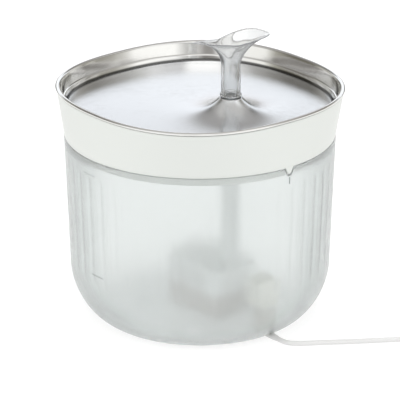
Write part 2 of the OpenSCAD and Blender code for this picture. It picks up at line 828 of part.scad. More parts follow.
module socket_nut() {
    color("silver")
    translate([column_x, column_y, column_h - 2.4 - 2.6])
        difference() {
            cylinder(r = column_bore - 0.3, h = 2.4, $fn = 6);
            translate([0, 0, -1]) cylinder(r = thread_r + 0.05, h = 5);
        }
}

module strain_relief() {
    color("white")
    union() {
        translate([column_x, column_y, elbow_z]) cylinder(r = elbow_r, h = stem_z - 0.1 - elbow_z);
        translate([column_x, column_y, elbow_z]) sphere(r = elbow_r);
        translate([column_x, column_y, elbow_z])
            rotate([-90, 0, 0])
                cylinder(r = elbow_r, h = elbow_end - 2.5 - column_y);
        translate([column_x, elbow_end - 2.5, elbow_z])
            rotate([-90, 0, 0])
                cylinder(r1 = elbow_r, r2 = cord_r + 0.2, h = 2.4);
    }
}

// A tube of n sides along a list of points, square to its ends
function along(pts, k) =
    let (a = pts[max(k - 1, 0)], b = pts[min(k + 1, len(pts) - 1)])
    (b - a) / norm(b - a);

function tube_ring(p, d, r, n) =
    let (side = cross(d, [0, 0, 1]) / norm(cross(d, [0, 0, 1])), up = cross(side, d))
    [for (i = [0:n - 1]) p + r * (cos(360 * i / n) * side + sin(360 * i / n) * up)];

module tube(pts, r, n) {
    skin([for (k = [0:len(pts) - 1]) tube_ring(pts[k], along(pts, k), r, n)], false);
}

// Catmull-Rom curve through the points, with a few steps for each stretch
function curve_point(p, k, u) =
    let (
        a = p[max(k - 1, 0)], b = p[k], c = p[min(k + 1, len(p) - 1)], d = p[min(k + 2, len(p) - 1)]
    )
    0.5 * (2 * b + (c - a) * u + (2 * a - 5 * b + 4 * c - d) * u * u + (3 * b - 3 * c + d - a) * u * u * u);

function curve(p, steps) = concat(
    [for (k = [0:len(p) - 2]) for (i = [0:steps - 1]) curve_point(p, k, i / steps)],
    [p[len(p) - 1]]
);

module pump_lead() {
    lead_z = motor_z + 8;
    plug_z = socket_z + 9;
    face_y = socket_y - socket_d / 2 + 3;
    color([0.85, 0.85, 0.83])
    tube(concat(
        [[0, pump_back - 0.65, lead_z]],
        curve([
            [0, pump_back, lead_z], [0, pump_back + 1.6, lead_z], [-0.5, pump_back + 6, lead_z + 3],
            [-1.5, face_y - 8, plug_z - 2], [column_x, face_y - 3.6, plug_z], [column_x, face_y - 1.2, plug_z]
        ], 3),
        [[column_x, face_y - 0.2, plug_z]]
    ), 1.5, 8);
}

// Coil: distance from the middle, height and place of the centre line after u turns
function coil_radius(u) = coil_out - coil_pitch * (coil_flip - abs(u - coil_flip));

function coil_climb(u) =
    let (s = min(max((u - coil_flip + 0.25) * 2, 0), 1))
    coil_layer * (1 - cos(180 * s)) / 2;

function coil_point(u) =
    let (t = coil_start + 360 * u)
    concat(
        [coil_c[0] + coil_radius(u) * cos(t), coil_c[1] + coil_radius(u) * sin(t)],
        cord_r + coil_lift + coil_climb(u)
    );

coil_dir = [cos(coil_start + 90), sin(coil_start + 90), 0];
coil_first = coil_point(0);
coil_lead_in = [coil_first[0] - 7 * coil_dir[0], coil_first[1] - 7 * coil_dir[1], coil_first[2]];
tail_turn = coil_start + 360 * coil_turns + 90;
tail_dir = [cos(tail_turn), sin(tail_turn), 0];
coil_last = coil_point(coil_turns);
plug_h = 8;
tail_pts = [
    for (k = [1:4])
        let (s = k / 4)
            coil_last + tail_dir * tail_len * s
            + [0, 0, (plug_h / 2 + 0.2 - coil_last[2]) * min(1, (1 - cos(180 * min(1, s * 1.33))) / 2)]
];
plug_at = tail_pts[3];
coil_rings = round(coil_turns * coil_steps);
coil_pts = [for (k = [0:coil_rings]) coil_point(coil_turns * k / coil_rings)];

module cord_run() {
    color("white")
    tube(concat(curve(run_pts, 2), [coil_lead_in]), cord_r, 8);
}

module cord_coil() {
    lead_in = [coil_lead_in + coil_dir * 0.15, coil_lead_in + coil_dir * cord_d];
    color("white")
    tube(concat(lead_in, coil_pts, tail_pts), cord_r, 6);
}

// The least gap of the coil to itself, measured between points at least half a turn apart
coil_gap = min([
    for (i = [0:coil_rings - 12])
        for (j = [i + 12:coil_rings])
            norm(coil_pts[i] - coil_pts[j])
]) - cord_d;
echo(coil_gap = coil_gap);

// Strap round all the turns at one place, thin where it passes under them
module cord_tie() {
    strap = 0.8;
    under = coil_lift - 0.15;
    inner = coil_out - coil_pitch * coil_flip - cord_r;
    low = sqrt(pow(inner, 2) - pow(tie_w / 2, 2)) - 0.6;
    wide = coil_out + cord_r + 0.5 - low;
    high = coil_lift + coil_layer + cord_d + 0.3;
    color([0.3, 0.3, 0.32])
    translate([coil_c[0], coil_c[1], 0.05])
        rotate(tie_turn)
            translate([low + wide / 2, tie_w / 2, 0])
                rotate([90, 0, 0])
                    linear_extrude(tie_w)
                        difference() {
                            translate([0, (high + strap) / 2])
                                polygon(round_rect(wide + 2 * strap, high + strap, 1.6));
                            translate([0, (high + under) / 2]) polygon(round_rect(wide, high - under, 0.8));
                        }
}

module at_plug() {
    translate([plug_at[0], plug_at[1], plug_h / 2 + 0.2]) rotate(tail_turn) children();
}

module plug_grip() {
    color("white")
    at_plug()
        union() {
            rotate([0, 90, 0]) cylinder(r1 = cord_r + 0.5, r2 = plug_h / 2 - 0.6, h = grip_len * 0.3);
            translate([grip_len * 0.63, 0, -plug_h / 2])
                linear_extrude(plug_h) polygon(round_rect(grip_len * 0.74, grip_w, 2.5));
        }
}

module plug_shell() {
    color("silver")
    at_plug()
        translate([grip_len, 0, 0])
            rotate([90, 0, 90])
                difference() {
                    linear_extrude(12) polygon(round_rect(12, 4.5, 0.6));
                    translate([0, 0, 2]) linear_extrude(12) polygon(round_rect(11.2, 3.8, 0.4));
                }
}

tank();
foot_pads();
collar();
steel_tray();
tray_plate();
spout_seat();
spout();
filter_holder();
filter_frame();
carbon_bed();
filter_felt();
riser_tube();
pump_body();
volute_cap();
pump_cover();
pump_foam();
impeller();
impeller_shaft();
flow_slider();
suction_cups();
power_socket();
socket_seal();
socket_nut();
pump_lead();
strain_relief();
cord_run();
cord_coil();
cord_tie();
plug_grip();
plug_shell();
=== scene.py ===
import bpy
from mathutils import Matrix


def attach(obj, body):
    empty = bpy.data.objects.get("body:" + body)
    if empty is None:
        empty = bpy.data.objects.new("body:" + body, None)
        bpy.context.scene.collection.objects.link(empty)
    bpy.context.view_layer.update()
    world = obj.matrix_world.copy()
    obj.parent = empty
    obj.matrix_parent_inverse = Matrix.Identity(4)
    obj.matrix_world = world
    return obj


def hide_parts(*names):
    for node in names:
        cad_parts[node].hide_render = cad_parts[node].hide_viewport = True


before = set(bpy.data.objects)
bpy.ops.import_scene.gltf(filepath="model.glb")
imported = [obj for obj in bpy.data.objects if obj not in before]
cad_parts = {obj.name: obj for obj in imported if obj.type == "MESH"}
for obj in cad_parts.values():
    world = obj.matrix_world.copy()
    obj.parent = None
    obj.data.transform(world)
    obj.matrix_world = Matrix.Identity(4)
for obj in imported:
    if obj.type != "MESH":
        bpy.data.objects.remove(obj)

"""Pet water fountain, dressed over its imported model: frosted tub, white collar, steel tray and leaf spout."""

import logging
import math
from dataclasses import dataclass, field
from enum import Enum
from typing import Iterable, Optional, Sequence, Tuple

import bpy
from mathutils import Vector

Point = Tuple[float, float, float]
Flat = Tuple[float, float]
Colour = Tuple[float, float, float]
Tree = bpy.types.NodeTree
Socket = bpy.types.NodeSocket
Node = bpy.types.Node
Piece = bpy.types.Object

MM = 0.001
log = logging.getLogger("fountain")
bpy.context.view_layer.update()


# Wiring and shared effects --------------------------------------------------------------------------------


class Wiring:
    """A hand for placing and joining the nodes of one tree."""

    def __init__(self, tree: Tree) -> None:
        """Takes up a node tree.

        Args:
            tree: The tree that the nodes go into.
        """
        self.tree = tree

    def add(self, kind: str, inputs: Optional[dict] = None, **settings: object) -> Node:
        """Places one node.

        Args:
            kind: Blender's name of the node type.
            inputs: Values by socket name or number.
            settings: Properties of the node itself.

        Returns:
            The new node.
        """
        node = self.tree.nodes.new(kind)
        for name, value in settings.items():
            setattr(node, name, value)
        for name, value in (inputs or {}).items():
            node.inputs[name].default_value = value
        return node

    def join(self, source: Socket, target: Socket) -> None:
        """Joins an output to an input."""
        self.tree.links.new(source, target)

    def maths(self, operation: str, first: object, second: object = 0.0, third: object = 0.0) -> Socket:
        """Places a Math node whose inputs are sockets or numbers.

        Args:
            operation: The Math node's operation.
            first: A socket or a number.
            second: A socket or a number.
            third: A socket or a number, for operations that take three.

        Returns:
            The result's socket.
        """
        node = self.add("ShaderNodeMath", operation=operation)
        for place, value in enumerate((first, second, third)):
            if isinstance(value, Socket):
                self.join(value, node.inputs[place])
            else:
                node.inputs[place].default_value = value
        return node.outputs[0]

    def ramp(self, source: Socket, stops: Sequence[Tuple[float, Colour]]) -> Socket:
        """Places a colour ramp.

        Args:
            source: The value that runs along the ramp.
            stops: Pairs of place and colour, in order.

        Returns:
            The colour's socket.
        """
        node = self.add("ShaderNodeValToRGB")
        elements = node.color_ramp.elements
        while len(elements) < len(stops):
            elements.new(0.5)
        for element, (place, colour) in zip(elements, stops):
            element.position = place
            element.color = (*colour, 1.0)
        self.join(source, node.inputs[0])
        return node.outputs[0]


class Effect(Enum):
    """The shader groups that several materials share."""

    MOULDED = "moulded_skin"
    BRUSHED = "brushed_grain"
    WORN = "handling_marks"
    GRANULES = "granules"
    FIBRES = "fibres"


@dataclass(frozen=True)
class EffectKit:
    """Builds each shared effect once, as a shader group with named sockets."""

    def get(self, effect: Effect) -> Tree:
        """Gives an effect's group, and builds it at the first call.

        Args:
            effect: The effect that a material asks for.

        Returns:
            The node group.
        """
        known = bpy.data.node_groups.get(effect.value)
        if known is not None:
            return known
        makers: dict = {
            Effect.MOULDED: self._moulded,
            Effect.BRUSHED: self._brushed,
            Effect.WORN: self._worn,
            Effect.GRANULES: self._granules,
            Effect.FIBRES: self._fibres,
        }
        return makers[effect]()

    def _begin(
        self, effect: Effect, inputs: Sequence[Tuple[str, float]], outputs: Sequence[str]
    ) -> Tuple[Tree, Wiring, Node, Node]:
        """Starts a group with its sockets.

        Args:
            effect: The effect whose name the group takes.
            inputs: Names and usual values of the inputs.
            outputs: Names of the outputs.

        Returns:
            The tree, its wiring, and the nodes of its inputs and outputs.
        """
        tree = bpy.data.node_groups.new(effect.value, "ShaderNodeTree")
        for name, value in inputs:
            socket = tree.interface.new_socket(name, in_out="INPUT", socket_type="NodeSocketFloat")
            socket.default_value = value
        for name in outputs:
            tree.interface.new_socket(name, in_out="OUTPUT", socket_type="NodeSocketFloat")
        wiring = Wiring(tree)
        return tree, wiring, wiring.add("NodeGroupInput"), wiring.add("NodeGroupOutput")

    def _noise(
        self, wiring: Wiring, scale: Socket, detail: float, stretch: Point = (1.0, 1.0, 1.0)
    ) -> Socket:
        """Places a noise on the object's own coordinates.

        Args:
            wiring: The tree to work in.
            scale: Socket that sets how fine the noise is.
            detail: Number of octaves.
            stretch: Factor on each axis before the noise.

        Returns:
            The noise's value.
        """
        place = wiring.add("ShaderNodeTexCoord")
        mapping = wiring.add("ShaderNodeMapping", {"Scale": stretch})
        wiring.join(place.outputs["Object"], mapping.inputs["Vector"])
        noise = wiring.add("ShaderNodeTexNoise", {"Detail": detail, "Roughness": 0.55})
        wiring.join(mapping.outputs[0], noise.inputs["Vector"])
        wiring.join(scale, noise.inputs["Scale"])
        return noise.outputs[0]

    def _moulded(self) -> Tree:
        """Fine orange peel of a moulded plastic skin, with slow changes of gloss.

        Returns:
            The group's tree.
        """
        tree, w, given, put = self._begin(
            Effect.MOULDED, [("Fineness", 900.0), ("Gloss", 0.3), ("Spread", 0.06)], ["Height", "Roughness"]
        )
        peel = self._noise(w, given.outputs["Fineness"], 3.0)
        slow = self._noise(w, w.maths("MULTIPLY", given.outputs["Fineness"], 0.03), 2.0)
        shift = w.maths("MULTIPLY", w.maths("SUBTRACT", slow, 0.5), given.outputs["Spread"])
        w.join(peel, put.inputs["Height"])
        w.join(w.maths("ADD", given.outputs["Gloss"], shift), put.inputs["Roughness"])
        return tree

    def _brushed(self) -> Tree:
        """Short grain of brushed or spun steel, which runs along X.

        Returns:
            The group's tree.
        """
        tree, w, given, put = self._begin(
            Effect.BRUSHED, [("Fineness", 120.0), ("Gloss", 0.25), ("Spread", 0.08)], ["Height", "Roughness"]
        )
        grain = self._noise(w, given.outputs["Fineness"], 4.0, (0.08, 6.0, 6.0))
        cloud = self._noise(w, w.maths("MULTIPLY", given.outputs["Fineness"], 0.1), 2.0)
        both = w.maths("ADD", w.maths("MULTIPLY", grain, 0.6), w.maths("MULTIPLY", cloud, 0.4))
        shift = w.maths("MULTIPLY", w.maths("SUBTRACT", both, 0.5), given.outputs["Spread"])
        w.join(grain, put.inputs["Height"])
        w.join(w.maths("ADD", given.outputs["Gloss"], shift), put.inputs["Roughness"])
        return tree

    def _worn(self) -> Tree:
        """Sparse smudges and water marks from handling, as a mask from 0 to 1.

        Returns:
            The group's tree.
        """
        tree, w, given, put = self._begin(Effect.WORN, [("Fineness", 22.0), ("Amount", 0.3)], ["Mask"])
        blot = self._noise(w, given.outputs["Fineness"], 5.0)
        speck = self._noise(w, w.maths("MULTIPLY", given.outputs["Fineness"], 9.0), 2.0)
        mask = w.maths("MULTIPLY", w.maths("SUBTRACT", w.maths("MULTIPLY", blot, speck), 0.24), 6.0)
        clamp = w.add("ShaderNodeClamp")
        w.join(w.maths("MULTIPLY", mask, given.outputs["Amount"]), clamp.inputs["Value"])
        w.join(clamp.outputs[0], put.inputs["Mask"])
        return tree

    def _granules(self) -> Tree:
        """Packed grains, as in a bed of carbon or an open foam.

        Returns:
            The group's tree.
        """
        tree, w, given, put = self._begin(Effect.GRANULES, [("Fineness", 500.0)], ["Height", "Shade"])
        place = w.add("ShaderNodeTexCoord")
        cells = w.add("ShaderNodeTexVoronoi", feature="F1")
        w.join(place.outputs["Object"], cells.inputs["Vector"])
        w.join(given.outputs["Fineness"], cells.inputs["Scale"])
        w.join(w.maths("SUBTRACT", 1.0, cells.outputs["Distance"]), put.inputs["Height"])
        tone = w.add("ShaderNodeSeparateColor")
        w.join(cells.outputs["Color"], tone.inputs[0])
        w.join(tone.outputs[0], put.inputs["Shade"])
        return tree

    def _fibres(self) -> Tree:
        """Matted fibres of needle felt.

        Returns:
            The group's tree.
        """
        tree, w, given, put = self._begin(Effect.FIBRES, [("Fineness", 320.0)], ["Height", "Shade"])
        along = self._noise(w, given.outputs["Fineness"], 4.0, (0.2, 2.4, 1.0))
        across = self._noise(w, given.outputs["Fineness"], 4.0, (2.4, 0.2, 1.0))
        w.join(w.maths("MAXIMUM", along, across), put.inputs["Height"])
        w.join(w.maths("MULTIPLY", along, across), put.inputs["Shade"])
        return tree


EFFECTS = EffectKit()


@dataclass(frozen=True)
class Finish:
    """A finish with a name, a colour and a record slot. Subclasses add what their surface shows."""

    name: str
    slot: str
    colour: Colour
    gloss: float = 0.3

    def build(self) -> bpy.types.Material:
        """Gives the finish's material, and builds it at the first call.

        Returns:
            The material.
        """
        label = f"finish_{self.name}"
        known = bpy.data.materials.get(label)
        if known is not None:
            return known
        material = bpy.data.materials.new(label)
        material.use_nodes = True
        material.node_tree.nodes.clear()
        wiring = Wiring(material.node_tree)
        base = {"Base Color": (*self.colour, 1.0), "Roughness": self.gloss}
        shader = wiring.add("ShaderNodeBsdfPrincipled", base)
        output = wiring.add("ShaderNodeOutputMaterial")
        wiring.join(shader.outputs[0], output.inputs["Surface"])
        self.dress(wiring, shader)
        return material

    def dress(self, wiring: Wiring, shader: Node) -> None:
        """Adds the surface's own detail. The plain finish adds none."""

    def place(self, wiring: Wiring, effect: Effect, **values: float) -> Node:
        """Places a shared effect in the material.

        Args:
            wiring: The material's wiring.
            effect: The effect to place.
            values: Its inputs.

        Returns:
            The group's node.
        """
        return wiring.add("ShaderNodeGroup", values, node_tree=EFFECTS.get(effect))

    def relief(self, wiring: Wiring, shader: Node, height: Socket, depth: float) -> None:
        """Turns a height into a bump on the shader.

        Args:
            wiring: The material's wiring.
            shader: The Principled shader.
            height: The height's socket, from 0 to 1.
            depth: Depth of the relief in millimetres.
        """
        bump = wiring.add("ShaderNodeBump", {"Strength": 1.0, "Distance": depth * MM})
        wiring.join(height, bump.inputs["Height"])
        wiring.join(bump.outputs[0], shader.inputs["Normal"])


@dataclass(frozen=True)
class Moulded(Finish):
    """Moulded plastic: orange peel, slow changes of gloss and a little coat."""

    fineness: float = 900.0
    depth: float = 0.02
    spread: float = 0.06
    coat: float = 0.0

    def dress(self, wiring: Wiring, shader: Node) -> None:
        """Adds the moulded skin.

        Args:
            wiring: The material's wiring.
            shader: The Principled shader.
        """
        values = {"Fineness": self.fineness, "Gloss": self.gloss, "Spread": self.spread}
        skin = self.place(wiring, Effect.MOULDED, **values)
        wiring.join(skin.outputs["Roughness"], shader.inputs["Roughness"])
        self.relief(wiring, shader, skin.outputs["Height"], self.depth)
        shader.inputs["Coat Weight"].default_value = self.coat
        shader.inputs["Coat Roughness"].default_value = 0.15


@dataclass(frozen=True)
class Frosted(Moulded):
    """Frosted see-through plastic, deeper in tone where the wall is seen at a slant: partly the longer path
    through the wall, partly painted shade.
    """

    refraction: float = 1.46
    through: float = 1.0
    # edge and tint set the painted shade where the wall is seen at a slant.
    edge: float = 0.7
    tint: Colour = (0.955, 1.0, 0.995)

    def dress(self, wiring: Wiring, shader: Node) -> None:
        """Adds the frosting, which lets light through and blurs what is behind.

        Args:
            wiring: The material's wiring.
            shader: The Principled shader.
        """
        super().dress(wiring, shader)
        # Painted shade, partly the longer path through the wall: darker where the wall is seen at a slant.
        facing = wiring.add("ShaderNodeLayerWeight", {"Blend": 0.5})
        deep = tuple(part * self.edge * tint for part, tint in zip(self.colour, self.tint))
        half = tuple((a + b) / 2 for a, b in zip(self.colour, deep))
        tone = wiring.ramp(facing.outputs["Facing"], [(0.32, self.colour), (0.62, half), (1.0, deep)])
        wiring.join(tone, shader.inputs["Base Color"])
        shader.inputs["Transmission Weight"].default_value = self.through
        shader.inputs["IOR"].default_value = self.refraction


@dataclass(frozen=True)
class Clear(Finish):
    """Clear polished plastic."""

    refraction: float = 1.49
    # The edge colour is painted shade, which the base colour reaches where the surface turns away from view.
    edge: Colour = (0.62, 0.65, 0.67)
    through: float = 0.88

    def dress(self, wiring: Wiring, shader: Node) -> None:
        """Lets the light through, with faint moulding waves and painted shade: the colour darkens towards the
        edges.

        Args:
            wiring: The material's wiring.
            shader: The Principled shader.
        """
        # Painted shade: darker towards the edges, for the dark lines along the stem and the leaf's rim.
        facing = wiring.add("ShaderNodeLayerWeight", {"Blend": 0.5})
        half = tuple(0.75 * a + 0.25 * b for a, b in zip(self.colour, self.edge))
        tone = wiring.ramp(facing.outputs["Facing"], [(0.35, self.colour), (0.6, half), (1.0, self.edge)])
        wiring.join(tone, shader.inputs["Base Color"])
        shader.inputs["Transmission Weight"].default_value = self.through
        shader.inputs["IOR"].default_value = self.refraction
        skin = self.place(wiring, Effect.MOULDED, Fineness=240.0, Gloss=self.gloss, Spread=0.02)
        self.relief(wiring, shader, skin.outputs["Height"], 0.01)


@dataclass(frozen=True)
class Steel(Finish):
    """Stainless steel, polished or satin, with grain and a few water marks."""

    fineness: float = 120.0
    spread: float = 0.08
    depth: float = 0.004
    marks: float = 0.2
    mark_fineness: float = 30.0
    mark_matt: float = 0.12
    mark_tone: float = 0.9
    # The seam fields paint shade near the pan's foot: the heights where it is full and where it ends, and how
    # dark it gets.
    seam_shade: Optional[Flat] = None
    seam_shade_tone: float = 0.16

    def dress(self, wiring: Wiring, shader: Node) -> None:
        """Adds the grain, the marks, the metal itself and the painted shade in the seam.

        Args:
            wiring: The material's wiring.
            shader: The Principled shader.
        """
        shader.inputs["Metallic"].default_value = 1.0
        values = {"Fineness": self.fineness, "Gloss": self.gloss, "Spread": self.spread}
        grain = self.place(wiring, Effect.BRUSHED, **values)
        marks = self.place(wiring, Effect.WORN, Fineness=self.mark_fineness, Amount=self.marks)
        matt = wiring.maths("MULTIPLY", marks.outputs[0], self.mark_matt)
        wiring.join(wiring.maths("ADD", grain.outputs["Roughness"], matt), shader.inputs["Roughness"])
        dull = tuple(self.mark_tone * part for part in self.colour)
        tone = wiring.ramp(marks.outputs[0], [(0.0, self.colour), (1.0, dull)])
        # Painted shade in the seam by the pan's foot, where the gap beside the plate lies in shadow.
        if self.seam_shade is not None:
            tone = self.paint_seam_shade(wiring, tone, *self.seam_shade)
        wiring.join(tone, shader.inputs["Base Color"])
        self.relief(wiring, shader, grain.outputs["Height"], self.depth)

    def paint_seam_shade(self, wiring: Wiring, tone: Socket, dark: float, unshaded_from: float) -> Socket:
        """Paints shade into the metal in the seam: darker towards the pan's foot, where the gap beside the
        plate lies in shadow.

        Args:
            wiring: The material's wiring.
            tone: The metal's colour.
            dark: Height in millimetres up to which the metal is dark.
            unshaded_from: Height in millimetres from which no shade is painted.

        Returns:
            The colour with the painted shade.
        """
        place = wiring.add("ShaderNodeTexCoord")
        apart = wiring.add("ShaderNodeSeparateXYZ")
        wiring.join(place.outputs["Object"], apart.inputs[0])
        span = {"From Min": dark * MM, "From Max": unshaded_from * MM, "To Min": self.seam_shade_tone, "To Max": 1.0}
        share = wiring.add("ShaderNodeMapRange", span)
        wiring.join(apart.outputs[2], share.inputs["Value"])
        mix = wiring.add("ShaderNodeVectorMath", operation="SCALE")
        wiring.join(tone, mix.inputs[0])
        wiring.join(share.outputs[0], mix.inputs["Scale"])
        return mix.outputs[0]


@dataclass(frozen=True)
class Grained(Finish):
    """A bed of grains or an open foam."""

    second: Colour = (0.2, 0.2, 0.2)
    fineness: float = 500.0
    depth: float = 0.5

    def dress(self, wiring: Wiring, shader: Node) -> None:
        """Adds the grains and their two tones.

        Args:
            wiring: The material's wiring.
            shader: The Principled shader.
        """
        grains = self.place(wiring, Effect.GRANULES, Fineness=self.fineness)
        tone = wiring.ramp(grains.outputs["Shade"], [(0.2, self.colour), (0.9, self.second)])
        wiring.join(tone, shader.inputs["Base Color"])
        self.relief(wiring, shader, grains.outputs["Height"], self.depth)


@dataclass(frozen=True)
class Felted(Finish):
    """Needle felt."""

    shade: Colour = (0.7, 0.7, 0.68)

    def dress(self, wiring: Wiring, shader: Node) -> None:
        """Adds the matted fibres.

        Args:
            wiring: The material's wiring.
            shader: The Principled shader.
        """
        fibres = self.place(wiring, Effect.FIBRES, Fineness=320.0)
        tone = wiring.ramp(fibres.outputs["Shade"], [(0.15, self.shade), (0.35, self.colour)])
        wiring.join(tone, shader.inputs["Base Color"])
        self.relief(wiring, shader, fibres.outputs["Height"], 0.4)
        shader.inputs["Sheen Weight"].default_value = 0.3


# The tub's edge value darkens it where its wall is seen at a slant: partly painted shade.
FROST = Frosted(
    "frosted_plastic", "frosted_tub", (0.952, 0.976, 0.972), 0.25,
    fineness=700.0, depth=0.008, through=0.86, edge=0.72,
)
# The dark grey of the level ticks and the notch rib is painted shade: the embossed lines on the wall show as
# thin shadows.
TICK_PAINTED_SHADE = Frosted(
    "tick_painted_shade", "frosted_tub", (0.36, 0.39, 0.39), 0.45, fineness=700.0, depth=0.01, through=0.3
)
COLLAR_WHITE = Moulded("collar_white", "white_plastic", (0.634, 0.654, 0.63), 0.34, depth=0.012)
INNER_WHITE = Moulded("inner_white", "white_plastic", (0.90, 0.91, 0.88), 0.42, depth=0.015)
# The polished pan gets painted shade low in its seam, where the gap beside the plate lies in shadow.
POLISHED = Steel(
    "polished_steel", "polished_steel", (0.82, 0.815, 0.80), 0.10,
    spread=0.05, depth=0.002, seam_shade=(150.4, 151.3),
)
SATIN = Steel("satin_steel", "satin_steel", (0.84, 0.85, 0.865), 0.23, spread=0.05, depth=0.003)
CLEAR = Clear("clear_plastic", "clear_plastic", (0.95, 0.96, 0.965), 0.0)
SILICONE = Frosted("silicone", "silicone", (0.93, 0.95, 0.95), 0.45, fineness=600.0, refraction=1.41)
PALE_RUBBER = Moulded("pale_rubber", "silicone", (0.80, 0.82, 0.82), 0.5)
DARK_RUBBER = Moulded("dark_rubber", "dark_rubber", (0.07, 0.075, 0.08), 0.6, depth=0.03)
PUMP_GREY = Moulded("pump_grey", "pump_plastic", (0.70, 0.675, 0.66), 0.45, depth=0.03)
PUMP_PALE = Moulded("pump_pale", "pump_plastic", (0.95, 0.965, 0.97), 0.4, depth=0.02)
# The cable column's grey tone is painted shade of the hollow column under the socket.
COLUMN_PAINTED_SHADE = Moulded("column_painted_shade", "frosted_tub", (0.74, 0.725, 0.69), 0.35, depth=0.01)
SKIRT_WHITE = Moulded("skirt_white", "white_plastic", (0.95, 0.96, 0.93), 0.4, depth=0.01)
CARBON = Grained("carbon", "carbon", (0.015, 0.015, 0.016), 0.5, second=(0.05, 0.05, 0.05), fineness=700.0)
FOAM = Grained(
    "foam", "foam", (0.72, 0.77, 0.80), 0.9, second=(0.84, 0.88, 0.90), fineness=900.0, depth=0.8
)
FELT = Felted("felt", "felt", (0.85, 0.85, 0.83), 0.95)
CERAMIC = Moulded("ceramic", "ceramic", (0.86, 0.82, 0.74), 0.12, depth=0.004, coat=0.3)
JACKET = Moulded("cable_jacket", "cable_white", (0.66, 0.66, 0.655), 0.42, fineness=1400.0, depth=0.015)
NICKEL = Steel("nickel", "nickel", (0.70, 0.69, 0.67), 0.16, fineness=300.0, marks=0.3)
SOCKET_WHITE = Moulded("socket_ivory", "white_plastic", (0.95, 0.945, 0.89), 0.4, depth=0.02)


# Shapes ----------------------------------------------------------------------------------------------------


class Shape:
    """Makes meshes from rings of points in millimetres."""

    @staticmethod
    def mesh(
        name: str, points: Sequence[Point], faces: Sequence[Sequence[int]], crease: float = 40.0
    ) -> Piece:
        """Makes an object from points and faces, smooth but for its sharp edges.

        Args:
            name: The piece's name.
            points: Points in millimetres.
            faces: Faces as lists of point numbers.
            crease: Angle in degrees from which an edge stays sharp.

        Returns:
            The new object, linked to the scene.
        """
        data = bpy.data.meshes.new(name)
        data.from_pydata([Vector(p) * MM for p in points], [], [list(f) for f in faces])
        data.update()
        data.polygons.foreach_set("use_smooth", [True] * len(data.polygons))
        data.set_sharp_from_angle(angle=math.radians(crease))
        piece = bpy.data.objects.new(name, data)
        bpy.context.scene.collection.objects.link(piece)
        return piece

    @staticmethod
    def skin(rings: Sequence[Sequence[Point]], loop: bool, start: int = 0) -> list:
        """Faces between neighbouring rings.

        Args:
            rings: Rings with the same number of points.
            loop: Whether the last ring joins the first; else both ends are closed by a cap.
            start: Number of the first point.

        Returns:
            The faces.
        """
        n, m = len(rings[0]), len(rings)
        faces = []
        for j in range(m if loop else m - 1):
            here, after = start + j * n, start + ((j + 1) % m) * n
            faces += [(here + i, here + (i + 1) % n, after + (i + 1) % n, after + i) for i in range(n)]
        if not loop:
            faces.append(tuple(start + i for i in reversed(range(n))))
            faces.append(tuple(start + (m - 1) * n + i for i in range(n)))
        return faces

    @classmethod
    def loft(cls, name: str, rings: Sequence[Sequence[Point]], loop: bool, crease: float = 40.0) -> Piece:
        """Makes one object from a list of rings.

        Args:
            name: The piece's name.
            rings: Rings with the same number of points, in millimetres.
            loop: Whether the last ring joins the first.
            crease: Angle in degrees from which an edge stays sharp.

        Returns:
            The new object.
        """
        return cls.mesh(name, [p for ring in rings for p in ring], cls.skin(rings, loop), crease)

    @staticmethod
    def circle(radius: float, z: float, centre: Flat = (0.0, 0.0), count: int = 96) -> list:
        """Points of a level circle.

        Args:
            radius: Radius in millimetres.
            z: Height in millimetres.
            centre: Middle of the circle.
            count: Number of points.

        Returns:
            The points.
        """
        turn = math.tau / count
        x, y = centre
        return [(x + radius * math.cos(i * turn), y + radius * math.sin(i * turn), z) for i in range(count)]

    @classmethod
    def lathe(cls, name: str, profile: Sequence[Flat], centre: Flat = (0.0, 0.0), count: int = 96) -> Piece:
        """Turns a closed profile of radius and height round an upright axis.

        Args:
            name: The piece's name.
            profile: Points of radius and height, anticlockwise seen with the axis at the left.
            centre: Place of the axis.
            count: Number of points round.

        Returns:
            The new object.
        """
        return cls.loft(name, [cls.circle(r, z, centre, count) for r, z in profile], True)

    @staticmethod
    def soften(profile: Sequence[Flat], rounds: int = 2, closed: bool = True) -> list:
        """Rounds off the corners of a profile by cutting them.

        Args:
            profile: The points.
            rounds: Number of times that each corner is cut.
            closed: Whether the last point joins the first.

        Returns:
            The rounded profile.
        """
        points = list(profile)
        for _ in range(rounds):
            cut = []
            pairs = zip(points, points[1:] + points[:1]) if closed else zip(points, points[1:])
            for a, b in pairs:
                cut.append(tuple(0.75 * p + 0.25 * q for p, q in zip(a, b)))
                cut.append(tuple(0.25 * p + 0.75 * q for p, q in zip(a, b)))
            points = cut if closed else [points[0], *cut, points[-1]]
        return points


def dress(
    piece: Piece, finish: Finish, body: Optional[str] = None, nodes: Iterable[str] = ()
) -> Piece:
    """Gives a piece its finish, its body and the CAD nodes that it stands for.

    Args:
        piece: The piece.
        finish: Its finish.
        body: The CAD body that it rides on, or None for a CAD node.
        nodes: Names of the CAD nodes that it replaces.

    Returns:
        The same piece.
    """
    piece.data.materials.clear()
    piece.data.materials.append(finish.build())
    if body is not None:
        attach(piece, body)
    if nodes:
        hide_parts(*nodes)
    return piece


def dress_node(name: str, finish: Finish) -> None:
    """Gives a CAD node that stays its finish.

    Args:
        name: The node's name.
        finish: The finish.
    """
    dress(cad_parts[name], finish)


# View and studio -------------------------------------------------------------------------------------------


